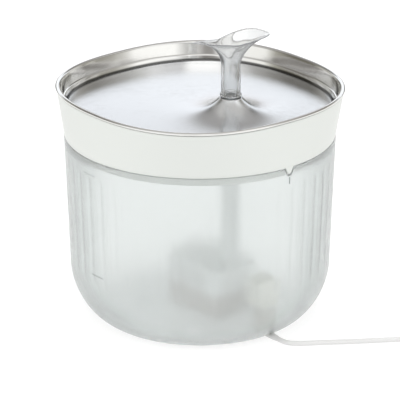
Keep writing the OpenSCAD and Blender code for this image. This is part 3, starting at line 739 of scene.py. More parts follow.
@dataclass
class ViewPoint:
    """The camera, at the photograph's angle."""

    aim_z: float = 162.7
    distance: float = 1624.1
    heading: Flat = (0.6361, 0.7716)
    elevation: float = 18.99
    lowered: float = 2.749
    lens: float = 217.5

    def build(self) -> Piece:
        """Makes the camera and hands it to the scene.

        Returns:
            The camera.
        """
        rise, fall = math.radians(self.elevation), math.radians(self.elevation + self.lowered)
        flat = math.cos(rise) * self.distance
        data = bpy.data.cameras.new("view")
        data.lens, data.sensor_width = self.lens, 36.0
        data.clip_start, data.clip_end = 0.05, 60.0
        camera = bpy.data.objects.new("view", data)
        bpy.context.scene.collection.objects.link(camera)
        height = self.aim_z + math.sin(rise) * self.distance
        camera.location = Vector((self.heading[0] * flat, self.heading[1] * flat, height)) * MM
        level = math.cos(fall)
        ahead = Vector((-self.heading[0] * level, -self.heading[1] * level, -math.sin(fall)))
        camera.rotation_euler = ahead.to_track_quat("-Z", "Y").to_euler()
        bpy.context.scene.camera = camera
        return camera


@dataclass(frozen=True)
class Backdrop(Moulded):
    """Plain lit paper for the floor."""

    glow: float = 0.80

    def dress(self, wiring: Wiring, shader: Node) -> None:
        """Adds the paper's own light, which keeps the shadow under the object faint.

        Args:
            wiring: The material's wiring.
            shader: The Principled shader.
        """
        super().dress(wiring, shader)
        shader.inputs["Emission Color"].default_value = (1.0, 1.0, 1.0, 1.0)
        shader.inputs["Emission Strength"].default_value = self.glow


@dataclass(frozen=True)
class Lamp:
    """A soft square lamp that faces the object. Its place and size are in metres, its power in watts."""

    name: str
    place: Point
    size: float
    power: float
    through: bool = False
    aim: Point = (0.0, 0.0, 0.1)

    def build(self) -> None:
        """Hangs the lamp. Only where through is set do see-through pieces show it behind them."""
        data = bpy.data.lights.new(self.name, "AREA")
        data.size, data.energy = self.size, self.power
        lamp = bpy.data.objects.new(self.name, data)
        bpy.context.scene.collection.objects.link(lamp)
        lamp.visible_glossy = False
        lamp.visible_transmission = self.through
        lamp.visible_camera = False
        lamp.location = self.place
        ahead = Vector(self.aim) - Vector(self.place)
        lamp.rotation_euler = ahead.to_track_quat("-Z", "Y").to_euler()


@dataclass
class Studio:
    """Pale floor, soft lights and the room that the steel mirrors."""

    floor_size: float = 24.0
    floor_colour: Colour = (0.25, 0.25, 0.25)
    camera_azimuth: float = 50.5
    lamps: Tuple[Lamp, ...] = (
        Lamp("key", (1.3, 1.0, 2.2), 1.8, 20.0),
        Lamp("top", (-0.5, -0.3, 2.9), 1.8, 19.0),
        Lamp("back", (-1.0, -1.2, 0.75), 1.4, 9.0),
        Lamp("left", (1.72, -0.90, 0.80), 1.4, 11.0, True),
        Lamp("right", (-1.21, 1.52, 0.80), 1.4, 11.0, True),
    )
    tier_heights: Tuple[Flat, ...] = ((0.20, 0.27), (0.40, 0.46), (0.58, 0.68))
    zenith_height: Flat = (0.79, 0.87)
    zenith: Colour = (0.60, 0.59, 0.57)
    low: Tuple[Tuple[float, Colour], ...] = (
        (-180.0, (1.02, 1.02, 1.05)), (-171.0, (0.95, 0.95, 0.98)), (-162.0, (0.10, 0.10, 0.09)),
        (-148.0, (0.06, 0.06, 0.05)), (-136.0, (0.65, 0.64, 0.60)), (-124.0, (0.30, 0.29, 0.26)),
        (-114.0, (0.65, 0.64, 0.58)), (-106.0, (0.16, 0.15, 0.12)), (-92.0, (0.20, 0.19, 0.16)),
        (-80.0, (0.42, 0.41, 0.36)), (-70.0, (1.05, 1.05, 1.02)), (-44.0, (1.08, 1.08, 1.06)),
        (-18.0, (1.08, 1.08, 1.08)), (-11.0, (0.36, 0.35, 0.34)), (-2.0, (0.36, 0.35, 0.34)),
        (6.0, (0.68, 0.67, 0.66)), (20.0, (0.66, 0.66, 0.65)), (32.0, (1.22, 1.22, 1.20)),
        (68.0, (1.18, 1.18, 1.16)), (77.0, (0.45, 0.44, 0.40)), (88.0, (0.34, 0.33, 0.29)),
        (94.0, (0.60, 0.59, 0.54)), (104.0, (0.32, 0.31, 0.28)), (114.0, (0.75, 0.74, 0.70)),
        (132.0, (0.55, 0.54, 0.50)), (148.0, (0.06, 0.06, 0.05)), (162.0, (0.10, 0.10, 0.09)),
        (171.0, (0.95, 0.95, 0.98)), (180.0, (1.02, 1.02, 1.05)),
    )
    middle: Tuple[Tuple[float, Colour], ...] = (
        (-180.0, (1.17, 1.21, 1.26)), (-148.0, (1.17, 1.21, 1.26)), (-136.0, (0.70, 0.70, 0.68)),
        (-118.0, (0.40, 0.39, 0.35)), (-100.0, (0.15, 0.14, 0.12)), (-84.0, (0.30, 0.29, 0.26)),
        (-70.0, (0.90, 0.90, 0.88)), (-28.0, (1.00, 1.00, 1.00)), (-16.0, (0.36, 0.35, 0.34)),
        (0.0, (0.24, 0.23, 0.22)), (9.0, (0.68, 0.68, 0.67)), (22.0, (0.62, 0.62, 0.61)),
        (32.0, (1.00, 1.00, 1.00)), (66.0, (1.00, 1.00, 0.98)), (80.0, (0.42, 0.41, 0.37)),
        (104.0, (0.44, 0.43, 0.39)), (122.0, (0.70, 0.69, 0.66)), (142.0, (1.17, 1.21, 1.26)),
        (180.0, (1.17, 1.21, 1.26)),
    )
    belt: Tuple[Tuple[float, Colour], ...] = (
        (-180.0, (0.36, 0.35, 0.34)), (-163.0, (0.30, 0.29, 0.28)), (-150.0, (0.10, 0.10, 0.09)),
        (-137.0, (0.40, 0.39, 0.37)), (-120.0, (0.12, 0.115, 0.10)), (-104.0, (0.10, 0.095, 0.08)),
        (-88.0, (0.18, 0.17, 0.15)), (-70.0, (0.50, 0.49, 0.47)), (-52.0, (0.95, 0.95, 0.95)),
        (0.0, (1.00, 1.00, 1.00)), (60.0, (1.00, 1.00, 1.00)), (72.0, (0.60, 0.60, 0.58)),
        (86.0, (0.20, 0.19, 0.17)), (104.0, (0.18, 0.17, 0.15)), (120.0, (0.32, 0.31, 0.28)),
        (138.0, (0.45, 0.44, 0.42)), (150.0, (0.12, 0.12, 0.11)), (163.0, (0.30, 0.29, 0.28)),
        (180.0, (0.36, 0.35, 0.34)),
    )
    high: Tuple[Tuple[float, Colour], ...] = (
        (-180.0, (0.42, 0.41, 0.40)), (-150.0, (0.34, 0.33, 0.32)), (-125.0, (0.45, 0.44, 0.42)),
        (-96.0, (0.60, 0.60, 0.58)), (-70.0, (0.50, 0.50, 0.49)), (-52.0, (1.00, 1.00, 1.00)),
        (-32.0, (0.90, 0.90, 0.90)), (-20.0, (1.75, 1.75, 1.75)), (18.0, (1.75, 1.75, 1.75)),
        (30.0, (0.88, 0.88, 0.90)), (48.0, (0.95, 0.95, 0.97)), (64.0, (1.15, 1.15, 1.15)),
        (84.0, (1.00, 1.00, 0.98)), (110.0, (0.60, 0.59, 0.57)), (140.0, (0.40, 0.39, 0.38)),
        (180.0, (0.42, 0.41, 0.40)),
    )

    def build(self) -> None:
        """Makes the floor, the room and the lights."""
        bpy.context.scene.view_settings.view_transform = "Standard"
        self._floor()
        self._room()
        for lamp in self.lamps:
            lamp.build()
        log.info("studio: floor, room and %d lamps", len(self.lamps))

    def _floor(self) -> None:
        """Makes the floor, with a material of its own."""
        half = self.floor_size / MM / 2
        corners = [(-half, -half, 0), (half, -half, 0), (half, half, 0), (-half, half, 0)]
        floor = Shape.mesh("floor", corners, [(0, 1, 2, 3)])
        dress(floor, Backdrop("floor_paper", "", self.floor_colour, 0.9, fineness=60.0, depth=0.0))

    def _room(self) -> None:
        """Sets the room's light: a ceiling, and four tiers of pale and dark screens below it."""
        world = bpy.data.worlds.new("room")
        bpy.context.scene.world = world
        world.use_nodes = True
        world.node_tree.nodes.clear()
        w = Wiring(world.node_tree)
        place = w.add("ShaderNodeTexCoord")
        apart = w.add("ShaderNodeSeparateXYZ")
        w.join(place.outputs["Generated"], apart.inputs[0])
        ahead = math.radians(self.camera_azimuth)
        along, across = math.cos(ahead), math.sin(ahead)
        x, y, height = apart.outputs
        toward = w.maths("ADD", w.maths("MULTIPLY", x, along), w.maths("MULTIPLY", y, across))
        aside = w.maths("SUBTRACT", w.maths("MULTIPLY", y, along), w.maths("MULTIPLY", x, across))
        turn = w.maths("MULTIPLY_ADD", w.maths("ARCTAN2", aside, toward), 0.5 / math.pi, 0.5)
        colour = self._tier(w, turn, self.low)
        for tier, join in zip((self.middle, self.belt, self.high), self.tier_heights):
            colour = self._blend(w, height, *join, colour, self._tier(w, turn, tier))
        zenith = w.add("ShaderNodeRGB")
        zenith.outputs[0].default_value = (*self.zenith, 1.0)
        colour = self._blend(w, height, *self.zenith_height, colour, zenith.outputs[0])
        light = w.add("ShaderNodeBackground")
        w.join(colour, light.inputs["Color"])
        w.join(light.outputs[0], w.add("ShaderNodeOutputWorld").inputs["Surface"])

    @staticmethod
    def _tier(w: Wiring, turn: Socket, screens: Sequence[Tuple[float, Colour]]) -> Socket:
        """Colours of one tier of screens, by their direction in degrees from the camera's side."""
        return w.ramp(turn, [((angle + 180) / 360, colour) for angle, colour in screens])

    @staticmethod
    def _blend(
        w: Wiring, height: Socket, begin: float, end: float,
        below: Socket, above: Socket,
    ) -> Socket:
        """Goes from one tier to the next between two heights.

        Args:
            w: The room's wiring.
            height: The direction's height, from 0 at the horizon to 1 overhead.
            begin: Height where the upper tier begins to show.
            end: Height from where only the upper tier shows.
            below: Colour of the lower tier.
            above: Colour of the upper tier.

        Returns:
            The blended colour.
        """
        mix = w.add("ShaderNodeMix", data_type="RGBA")
        w.join(w.ramp(height, [(begin, (0.0, 0.0, 0.0)), (end, (1.0, 1.0, 1.0))]), mix.inputs[0])
        w.join(below, mix.inputs[6])
        w.join(above, mix.inputs[7])
        return mix.outputs[2]


# Cable -----------------------------------------------------------------------------------------------------


@dataclass
class Cable:
    """The white USB cable: moulded elbow, run on the floor, tied coil and plug."""

    across: float = 3.4
    exit_point: Point = (-2.0, 79.0, 2.5)
    run: Tuple[Point, ...] = (
        (-2, 79, 2.5), (-2, 82.5, 2.4), (-3.6, 88, 2), (-8, 92.6, 1.8), (-14, 96.8, 1.7), (-21, 101.4, 1.7),
        (-28, 106.2, 1.7), (-36, 111.8, 1.7), (-44, 117.2, 1.7), (-52, 122.4, 1.7), (-60, 127.6, 1.7),
        (-68, 132.7, 1.7), (-77, 138.4, 1.7), (-86, 144.1, 1.7), (-91.9, 147.85, 1.7),
    )
    coil_centre: Flat = (-119.76, 129.9)
    coil_start: float = 57.8
    coil_turns: float = 11.23
    coil_out: float = 30.0
    coil_pitch: float = 4.0
    coil_layer: float = 3.9
    coil_lift: float = 0.5
    lead_in: Flat = (7.0, 3.6)
    tail: float = 19.0
    tail_steps: int = 8
    tail_fall: float = 1.33
    plug_height: float = 8.0
    plug_clear: float = 0.2
    steps: int = 36

    def coil_point(self, u: float) -> Vector:
        """Centre line of the coil.

        Args:
            u: Number of turns from the coil's start.

        Returns:
            The point in millimetres.
        """
        flip = self.coil_turns / 2
        turn = math.radians(self.coil_start + 360 * u)
        radius = self.coil_out - self.coil_pitch * (flip - abs(u - flip))
        share = min(max((u - flip + 0.25) * 2, 0.0), 1.0)
        height = self.across / 2 + self.coil_lift + self.coil_layer * (1 - math.cos(math.pi * share)) / 2
        centre = self.coil_centre
        return Vector((centre[0] + radius * math.cos(turn), centre[1] + radius * math.sin(turn), height))

    def route(self) -> list:
        """The whole centre line, from the elbow to the plug.

        Returns:
            The points in millimetres.
        """
        begin = math.radians(self.coil_start + 90)
        ahead = Vector((math.cos(begin), math.sin(begin), 0))
        first = self.coil_point(0)
        points = self.smooth([Vector(p) for p in self.run], 4)
        points += [first - reach * ahead for reach in self.lead_in]
        count = round(self.coil_turns * self.steps)
        points += [self.coil_point(self.coil_turns * k / count) for k in range(count + 1)]
        return points + self.tail_points()

    def tail_points(self) -> list:
        """The last stretch, from the coil down to the plug.

        Returns:
            The points in millimetres.
        """
        turn = self.tail_turn()
        ahead, last = Vector((math.cos(turn), math.sin(turn), 0)), self.coil_point(self.coil_turns)
        drop = self.plug_height / 2 + self.plug_clear - last.z
        points = []
        for k in range(1, self.tail_steps + 1):
            share = k / self.tail_steps
            fall = (1 - math.cos(math.pi * min(1.0, share * self.tail_fall))) / 2
            points.append(last + ahead * self.tail * share + Vector((0, 0, drop * min(1.0, fall))))
        return points

    def tail_turn(self) -> float:
        """Direction of the plug on the floor, in radians."""
        return math.radians(self.coil_start + 360 * self.coil_turns + 90)

    @staticmethod
    def smooth(points: Sequence[Vector], steps: int) -> list:
        """A smooth curve through the points.

        Args:
            points: Points that the curve passes.
            steps: Number of steps for each stretch.

        Returns:
            The curve's points.
        """
        curve = []
        for k in range(len(points) - 1):
            a, b = points[max(k - 1, 0)], points[k]
            c, d = points[k + 1], points[min(k + 2, len(points) - 1)]
            for i in range(steps):
                u = i / steps
                square, cube = (2 * a - 5 * b + 4 * c - d) * u * u, (3 * b - 3 * c + d - a) * u**3
                curve.append(0.5 * (2 * b + (c - a) * u + square + cube))
        return curve + [points[-1]]

    def build(self) -> Piece:
        """Makes the cable and the pieces on it.

        Returns:
            The cable's curve.
        """
        points = self.route()
        data = bpy.data.curves.new("cable", "CURVE")
        data.dimensions, data.bevel_depth, data.bevel_resolution = "3D", self.across / 2 * MM, 5
        data.use_fill_caps = True
        spline = data.splines.new("POLY")
        spline.points.add(len(points) - 1)
        for spot, point in zip(spline.points, points):
            spot.co = (*(point * MM), 1.0)
        spline.use_smooth = True
        cable = bpy.data.objects.new("cable", data)
        bpy.context.scene.collection.objects.link(cable)
        dress(cable, JACKET, "base", ["cord_run", "cord_coil"])
        dress_node("cord_tie", DARK_RUBBER)
        dress_node("plug_grip", JACKET)
        dress_node("plug_shell", NICKEL)
        dress_node("strain_relief", JACKET)
        return cable


# Tub -------------------------------------------------------------------------------------------------------


@dataclass
class Tub:
    """The frosted tub with its fine inner ribs, level ticks, cable column and foot pads."""

    height: float = 129.5
    top_radius: float = 91.9
    draft: float = 2.9
    wall: float = 2.4
    base_z: float = 0.8
    floor: float = 2.4
    floor_inset: float = 1.4
    round_height: float = 35.0
    round_width: float = 23.0
    round_power: float = 1.7
    ribs: int = 48
    rib_proud: float = 0.2
    rib_half: float = 2.1
    rib_span: Flat = (40.0, 118.0)
    rib_ease: float = 3.0
    notch: Flat = (3.7, 1.5)
    notch_depth: float = 4.9
    notch_turn: float = 90.0
    column: Point = (-2.0, 66.0, 21.4)
    column_radii: Flat = (7.2, 4.9)
    column_neck: Flat = (3.9, 5.0)
    tick_turns: Tuple[Tuple[float, float], ...] = ((119.0, -2.1), (46.8, 0.4))
    tick_length: float = 12.5

    def outer_radius(self, z: float) -> float:
        """Outer radius of the plain wall at height z."""
        foot = self.base_z + self.round_height
        return self.top_radius - self.draft * (self.height - z) / (self.height - foot)

    def quarter(self, flat: float, low: float, wide: float, high: float, count: int = 16) -> list:
        """Points of the rounding from the floor up to the wall.

        Args:
            flat: Radius of the flat part.
            low: Height of the flat part.
            wide: Reach of the rounding.
            high: Height of the rounding.
            count: Number of steps.

        Returns:
            Points of radius and height.
        """
        points = []
        for i in range(count + 1):
            t = math.radians(90 * i / count)
            out = math.sin(t) ** (2 / self.round_power)
            up = 1 - max(math.cos(t), 0.0) ** (2 / self.round_power)
            points.append((flat + wide * out, low + high * up))
        return points

    def turns(self) -> list:
        """Directions of the wall's points, with the ribs' and the notch's corners among them.

        Returns:
            The directions in degrees, in order.
        """
        pitch = 360 / self.ribs
        step = math.degrees(self.rib_half / self.top_radius)
        steps = [-2.2, -1.5, -1.0, -0.5, 0.0, 0.5, 1.0, 1.5, 2.2]
        plain = [(k + 0.5) * pitch + step * s for k in range(self.ribs) for s in steps]
        plain += [k * pitch + d for k in range(self.ribs) for d in (-1.2, 0.0, 1.2)]
        corners = [math.degrees(math.asin(half / self.top_radius)) for half in self.notch]
        marks = [self.notch_turn + s * c for c in corners for s in (-1, 1)]
        keep = [t % 360 for t in plain if all(abs(t - m) > 0.2 for m in marks)]
        return sorted(keep + marks)

    def notch_drop(self, turn: float) -> float:
        """How far the tub's edge is cut down.

        Args:
            turn: The direction in degrees.

        Returns:
            The depth in millimetres.
        """
        off = abs(math.sin(math.radians(turn - self.notch_turn))) * self.top_radius
        wide, narrow = self.notch
        if math.cos(math.radians(turn - self.notch_turn)) < 0 or off >= wide - 1e-6:
            return 0.0
        return self.notch_depth * min(1.0, (wide - off) / (wide - narrow))

    def rib(self, turn: float, z: float) -> float:
        """How far the nearest rib stands out of the wall inwards.

        Args:
            turn: The direction in degrees.
            z: The height.

        Returns:
            The rib's reach in millimetres.
        """
        low, high = self.rib_span
        if not low <= z <= high:
            return 0.0
        pitch = 360 / self.ribs
        off = math.radians((turn % pitch) - pitch / 2) * self.top_radius
        ease = min(1.0, (z - low) / self.rib_ease, (high - z) / self.rib_ease)
        return self.rib_proud * ease * math.exp(-((off / self.rib_half) ** 2))

    def build(self) -> Piece:
        """Makes the tub's pieces.

        Returns:
            The tub's shell.
        """
        turns = self.turns()
        base_radius = self.top_radius - self.draft - self.round_width
        outer = self.quarter(base_radius, self.base_z, self.round_width, self.round_height)
        outer += [(self.outer_radius(z), z) for z in (50, 70, 90, 110, 122)]
        floor_z = self.base_z + self.floor
        flat = base_radius - self.floor_inset
        inner_foot = self.top_radius - self.draft - self.wall
        inner = self.quarter(flat, floor_z, inner_foot - flat, self.round_height - self.floor)
        heights = [40, 43, 46, 50, 56, 64, 72, 80, 88, 96, 104, 110, 113, 116, 118, 119, 122]
        inner += [(self.outer_radius(z) - self.wall, z) for z in heights]

        def ring(radius: float, z: float, ribbed: bool, top: bool) -> list:
            """One ring of the shell.

            Args:
                radius: Its radius without the ribs.
                z: Its height without the notch.
                ribbed: Whether the ribs stand on it.
                top: Whether the notch is cut into it.

            Returns:
                The points.
            """
            points = []
            for turn in turns:
                r = radius - (self.rib(turn, z) if ribbed else 0.0)
                high = z - (self.notch_drop(turn) if top else 0.0)
                points.append((r * math.cos(math.radians(turn)), r * math.sin(math.radians(turn)), high))
            return points

        rings = [ring(0.02, self.base_z, False, False), ring(base_radius * 0.5, self.base_z, False, False)]
        rings += [ring(r, z, False, False) for r, z in outer]
        top_inner, shoulder = self.top_radius - self.wall, self.height - 0.7
        edge = [(self.top_radius - 0.05, shoulder), (self.top_radius - 0.4, self.height)]
        edge += [(top_inner + 0.4, self.height), (top_inner + 0.05, shoulder)]
        rings += [ring(r, z, False, True) for r, z in edge]
        rings += [ring(r, z, True, False) for r, z in reversed(inner)]
        rings += [ring(flat * 0.5, floor_z, False, False), ring(0.02, floor_z, False, False)]
        shell = Shape.loft("tub_shell", rings, False, 32.0)
        dress(shell, FROST, "base", ["tank"])
        self._column(floor_z)
        self._ticks()
        dress_node("foot_pads", SILICONE)
        log.info("tub: shell with %d ribs, column, ticks and pads", self.ribs)
        return shell

    def _column(self, floor_z: float) -> None:
        """Makes the hollow column that carries the socket; its grey tone is painted shade inside the tub.

        Args:
            floor_z: Height of the tub's floor.
        """
        x, y, top = self.column
        outer, bore = self.column_radii
        neck, deep = self.column_neck
        profile = [
            (bore, floor_z + 0.05), (outer, floor_z + 0.05), (outer, top - 0.5), (outer - 0.5, top),
            (neck, top), (neck, top - deep), (bore, top - deep),
        ]
        column = Shape.lathe("tub_column", profile, (x, y), 64)
        dress(column, COLUMN_PAINTED_SHADE, "base")

    def _ticks(self) -> None:
        """Makes the two bare level ticks and the fine rib under the notch, in a dark grey that paints their
        shade.
        """
        points: list = []
        faces: list = []
        for z, turn in self.tick_turns:
            half = math.degrees(self.tick_length / 2 / self.top_radius)
            rings = []
            for k in range(9):
                t = math.radians(turn - half + 2 * half * k / 8)
                r = self.outer_radius(z)
                cut = [(r - 0.1, z + 0.28), (r + 0.16, z + 0.16), (r + 0.16, z - 0.16), (r - 0.1, z - 0.28)]
                rings.append([(d * math.cos(t), d * math.sin(t), h) for d, h in cut])
            faces += Shape.skin(rings, False, len(points))
            points += [p for r in rings for p in r]
        ticks = Shape.mesh("level_ticks", points, faces)
        dress(ticks, TICK_PAINTED_SHADE, "base")
        y = self.outer_radius(123.0)
        rings = [
            [(-0.35, y - 0.3, z), (0.35, y - 0.3, z), (0.2, y + 0.3, z), (-0.2, y + 0.3, z)]
            for z in (118.6, 119.2, 122.6, 123.2)
        ]
        rib = Shape.loft("notch_rib", rings, False)
        dress(rib, TICK_PAINTED_SHADE, "base")


# Collar ----------------------------------------------------------------------------------------------------


def square_radius(half: float, power: float, turn: float) -> float:
    """Radius of a rounded square in a direction.

    Args:
        half: Half its width across the flats.
        power: Its squareness, where 2 is a circle.
        turn: The direction in radians.

    Returns:
        The radius.
    """
    return half / (abs(math.cos(turn)) ** power + abs(math.sin(turn)) ** power) ** (1 / power)


@dataclass
class Collar:
    """The white collar, which goes from a circle below to a rounded square above."""

    foot_z: float = 129.8
    height: float = 30.6
    foot_radius: float = 91.7
    top_half: float = 91.2
    power: float = 2.4
    wall: float = 2.2
    lip: float = 1.4
    skirt: Tuple[float, float, float] = (89.0, 1.8, 6.0)
    shelf: Tuple[float, float] = (83.6, 2.2)
    tab: Tuple[float, float, float] = (3.4, 1.2, 4.6)
    count: int = 256

    def ring(self, share: float, depth: float) -> list:
        """Ring of the collar.

        Args:
            share: Share of the collar's height, where 1 is the rim.
            depth: Depth inside its skin.

        Returns:
            The points.
        """
        points = []
        for i in range(self.count):
            t = math.tau * i / self.count
            r = (1 - share) * self.foot_radius + share * square_radius(self.top_half, self.power, t) - depth
            points.append((r * math.cos(t), r * math.sin(t), self.foot_z + share * self.height))
        return points

    def build(self) -> Piece:
        """Makes the collar's shell, its skirt and shelf, and its tab.

        Returns:
            The collar.
        """
        outside = [self.ring(0.0, 0.25), self.ring(0.008, 0.06), self.ring(0.02, 0.0)]
        outside += [self.ring(k / 10, 0.0) for k in range(1, 10)]
        outside += [self.ring(0.985, 0.0), self.ring(0.996, 0.15), self.ring(1.0, 0.4)]
        inside = [self.ring(1.0, self.lip - 0.2), self.ring(0.99, self.lip)]
        for k in range(9, -1, -1):
            share = k / 10
            inside.append(self.ring(share, self.wall + (self.lip - self.wall) * share**3))
        collar = Shape.loft("collar_shell", outside + inside, True)
        dress(collar, COLLAR_WHITE, "lid", ["collar"])
        outer, thick, deep = self.skirt
        reach, flat = self.shelf
        z = self.foot_z + 0.2
        profile = [
            (reach, z), (outer - thick, z), (outer - thick, z - deep), (outer - 0.5, z - deep),
            (outer, z - deep + 0.8), (outer, z), (90.7, z), (90.7, z + flat), (reach, z + flat),
        ]
        skirt = Shape.lathe("collar_skirt", profile, count=192)
        dress(skirt, SKIRT_WHITE, "lid")
        self._tab()
        log.info("collar: shell, skirt and tab")
        return collar

    def _tab(self) -> None:
        """Makes the small tapered tab that drops into the tub's notch."""
        half, foot, deep = self.tab
        outline = [(-half, 0.6), (-half, 0.0), (-foot, -deep), (foot, -deep), (half, 0.0), (half, 0.6)]
        outline = [outline[0], *Shape.soften(outline[1:5], 2, False), outline[5]]
        y = self.foot_radius - 0.1
        rings = []
        for depth, inset in ((0.0, 0.25), (0.25, 0.0), (1.6, 0.0), (1.8, 0.2)):
            slim = 1 - inset / half
            rings.append(
                [(x * slim, y - depth, self.foot_z + z + (inset if z < -1 else 0)) for x, z in outline]
            )
        tab = Shape.loft("collar_tab", rings, False)
        dress(tab, COLLAR_WHITE, "lid")


# Drinking tray ---------------------------------------------------------------------------------------------


@dataclass
class DrinkingTray:
    """The polished pan with its rolled rim, and the satin plate with the cone."""

    rim_half: float = 92.0
    power: float = 2.4
    rim_z: float = 162.7
    bead: Flat = (3.0, 2.0)
    depth: float = 14.0
    crease: float = 9.0
    wall_in: float = 0.2
    crease_in: float = 2.0
    foot_past: float = 2.5
    sheet: float = 0.7
    ledge: float = 6.0
    plate_thick: float = 0.8
    plate_rise: float = 1.4
    dome: float = 1.2
    cone: float = 11.4
    cone_fall: float = 9.0
    land: float = 7.4
    spout_y: float = 32.0
    seat_bore: float = 6.35
    plate_gap: float = 1.3
    foot_round: float = 0.6
    count: int = 288

    def foot_in(self) -> float:
        """Distance of the wall's foot in from the rim's outline."""
        return self.bead[0] + self.crease_in + self.foot_past

    def section(self) -> list:
        """Section of the pan's sheet.

        Returns:
            Points of the distance in from the outline, and the height over the rim.
        """
        wide, high = self.bead
        wall, crease = wide + self.wall_in, wide + self.crease_in
        foot, deep = self.foot_in(), self.depth
        bead = [(0.9, -high), (0.25, -high + 0.4), (0.0, -high / 2), (0.2, -0.4), (0.9, -0.03), (1.7, -0.02)]
        bead += [(wide - 0.5, -0.25), (wide, -0.75)]
        inner = [(wall, -1.3), (wall + 0.3, -2.6), (crease - 0.1, -self.crease + 0.5), (crease, -self.crease)]
        inner += [(crease + 0.55, -self.crease - 0.25), (crease + 0.9, -self.crease - 0.5)]
        inner += [(crease + 1.05, -self.crease - 1.1)]
        inner += [(foot - 0.75, -deep + 1.2), (foot - 0.3, -deep + 0.4), (foot + 0.4, -deep + 0.02)]
        under = [(foot + self.ledge, -deep), (foot + self.ledge, -deep - self.sheet)]
        under += [(foot + 0.2, -deep - self.sheet)]
        under += [(foot - 1.0, -deep - 0.1), (foot - 1.5, -deep + 0.9)]
        under += [(crease + 0.15, -self.crease - 0.95), (crease - 0.75, -self.crease - 0.3)]
        under += [(wall - 0.6, -high)]
        return bead + inner + under

    def pan_ring(self, inset: float, z: float) -> list:
        """Ring of the pan.

        Args:
            inset: Distance in from the rim's outline.
            z: Height over the rim.

        Returns:
            The points.
        """
        points = []
        for i in range(self.count):
            t = math.tau * i / self.count
            r = square_radius(self.rim_half - inset, self.power, t)
            points.append((r * math.cos(t), r * math.sin(t), self.rim_z + z))
        return points

    def plate_half(self) -> float:
        """Half the plate's width across the flats."""
        return self.rim_half - (self.foot_in() - self.foot_round + self.plate_gap)

    def rise(self, x: float, y: float) -> float:
        """Height of the plate's top over its edge.

        Args:
            x: Place along X.
            y: Place along Y.

        Returns:
            The height in millimetres.
        """
        turn = math.atan2(y, x)
        out = min(math.hypot(x, y) / square_radius(self.plate_half(), self.power, turn), 1.0)
        near = max(0.0, math.hypot(x, y - self.spout_y) - self.land)
        return self.dome * (1 - out**2) + self.cone * math.exp(-near / self.cone_fall) * (1 - out**8)

    def plate_ring(self, share: float, inset: float, drop: float) -> list:
        """Ring of the plate.

        Args:
            share: 0 for the hole in the cone, 1 for the edge.
            inset: Distance in from the plate's outline.
            drop: Distance down from its top.

        Returns:
            The points.
        """
        points = []
        base = self.rim_z - self.depth + self.plate_rise
        for i in range(self.count):
            t = math.tau * i / self.count
            hole = (self.seat_bore * math.cos(t), self.spout_y + self.seat_bore * math.sin(t))
            r = square_radius(self.plate_half() - inset, self.power, t)
            x = hole[0] * (1 - share) + r * math.cos(t) * share
            y = hole[1] * (1 - share) + r * math.sin(t) * share
            points.append((x, y, base + self.rise(x, y) - drop))
        return points

    def build(self) -> Piece:
        """Makes the pan and the plate.

        Returns:
            The pan.
        """
        rings = [self.pan_ring(a, b) for a, b in self.section()]
        pan = Shape.loft("tray_pan", rings, True, 50.0)
        dress(pan, POLISHED, "tray", ["steel_tray"])
        shares = [0.0, 0.004, 0.01]
        shares += [0.01 + 0.99 * (k / 44) ** 1.5 for k in range(1, 44)]
        top = [self.plate_ring(s, 0.0, 0.0) for s in shares]
        rounding = ((0.25, 0.0), (0.05, 0.15), (0.0, 0.4), (0.1, 0.7), (0.3, 0.8))
        edge = [self.plate_ring(1.0, inset, drop) for inset, drop in rounding]
        under = [self.plate_ring(s, 0.0, self.plate_thick) for s in reversed(shares[::3])]
        plate = Shape.loft("tray_plate_top", (top + edge + under)[::-1], True, 50.0)
        dress(plate, SATIN, "plate", ["tray_plate"])
        log.info("tray: pan of %d rings and plate of %d rings", len(rings), len(top))
        return pan


# Spout -----------------------------------------------------------------------------------------------------


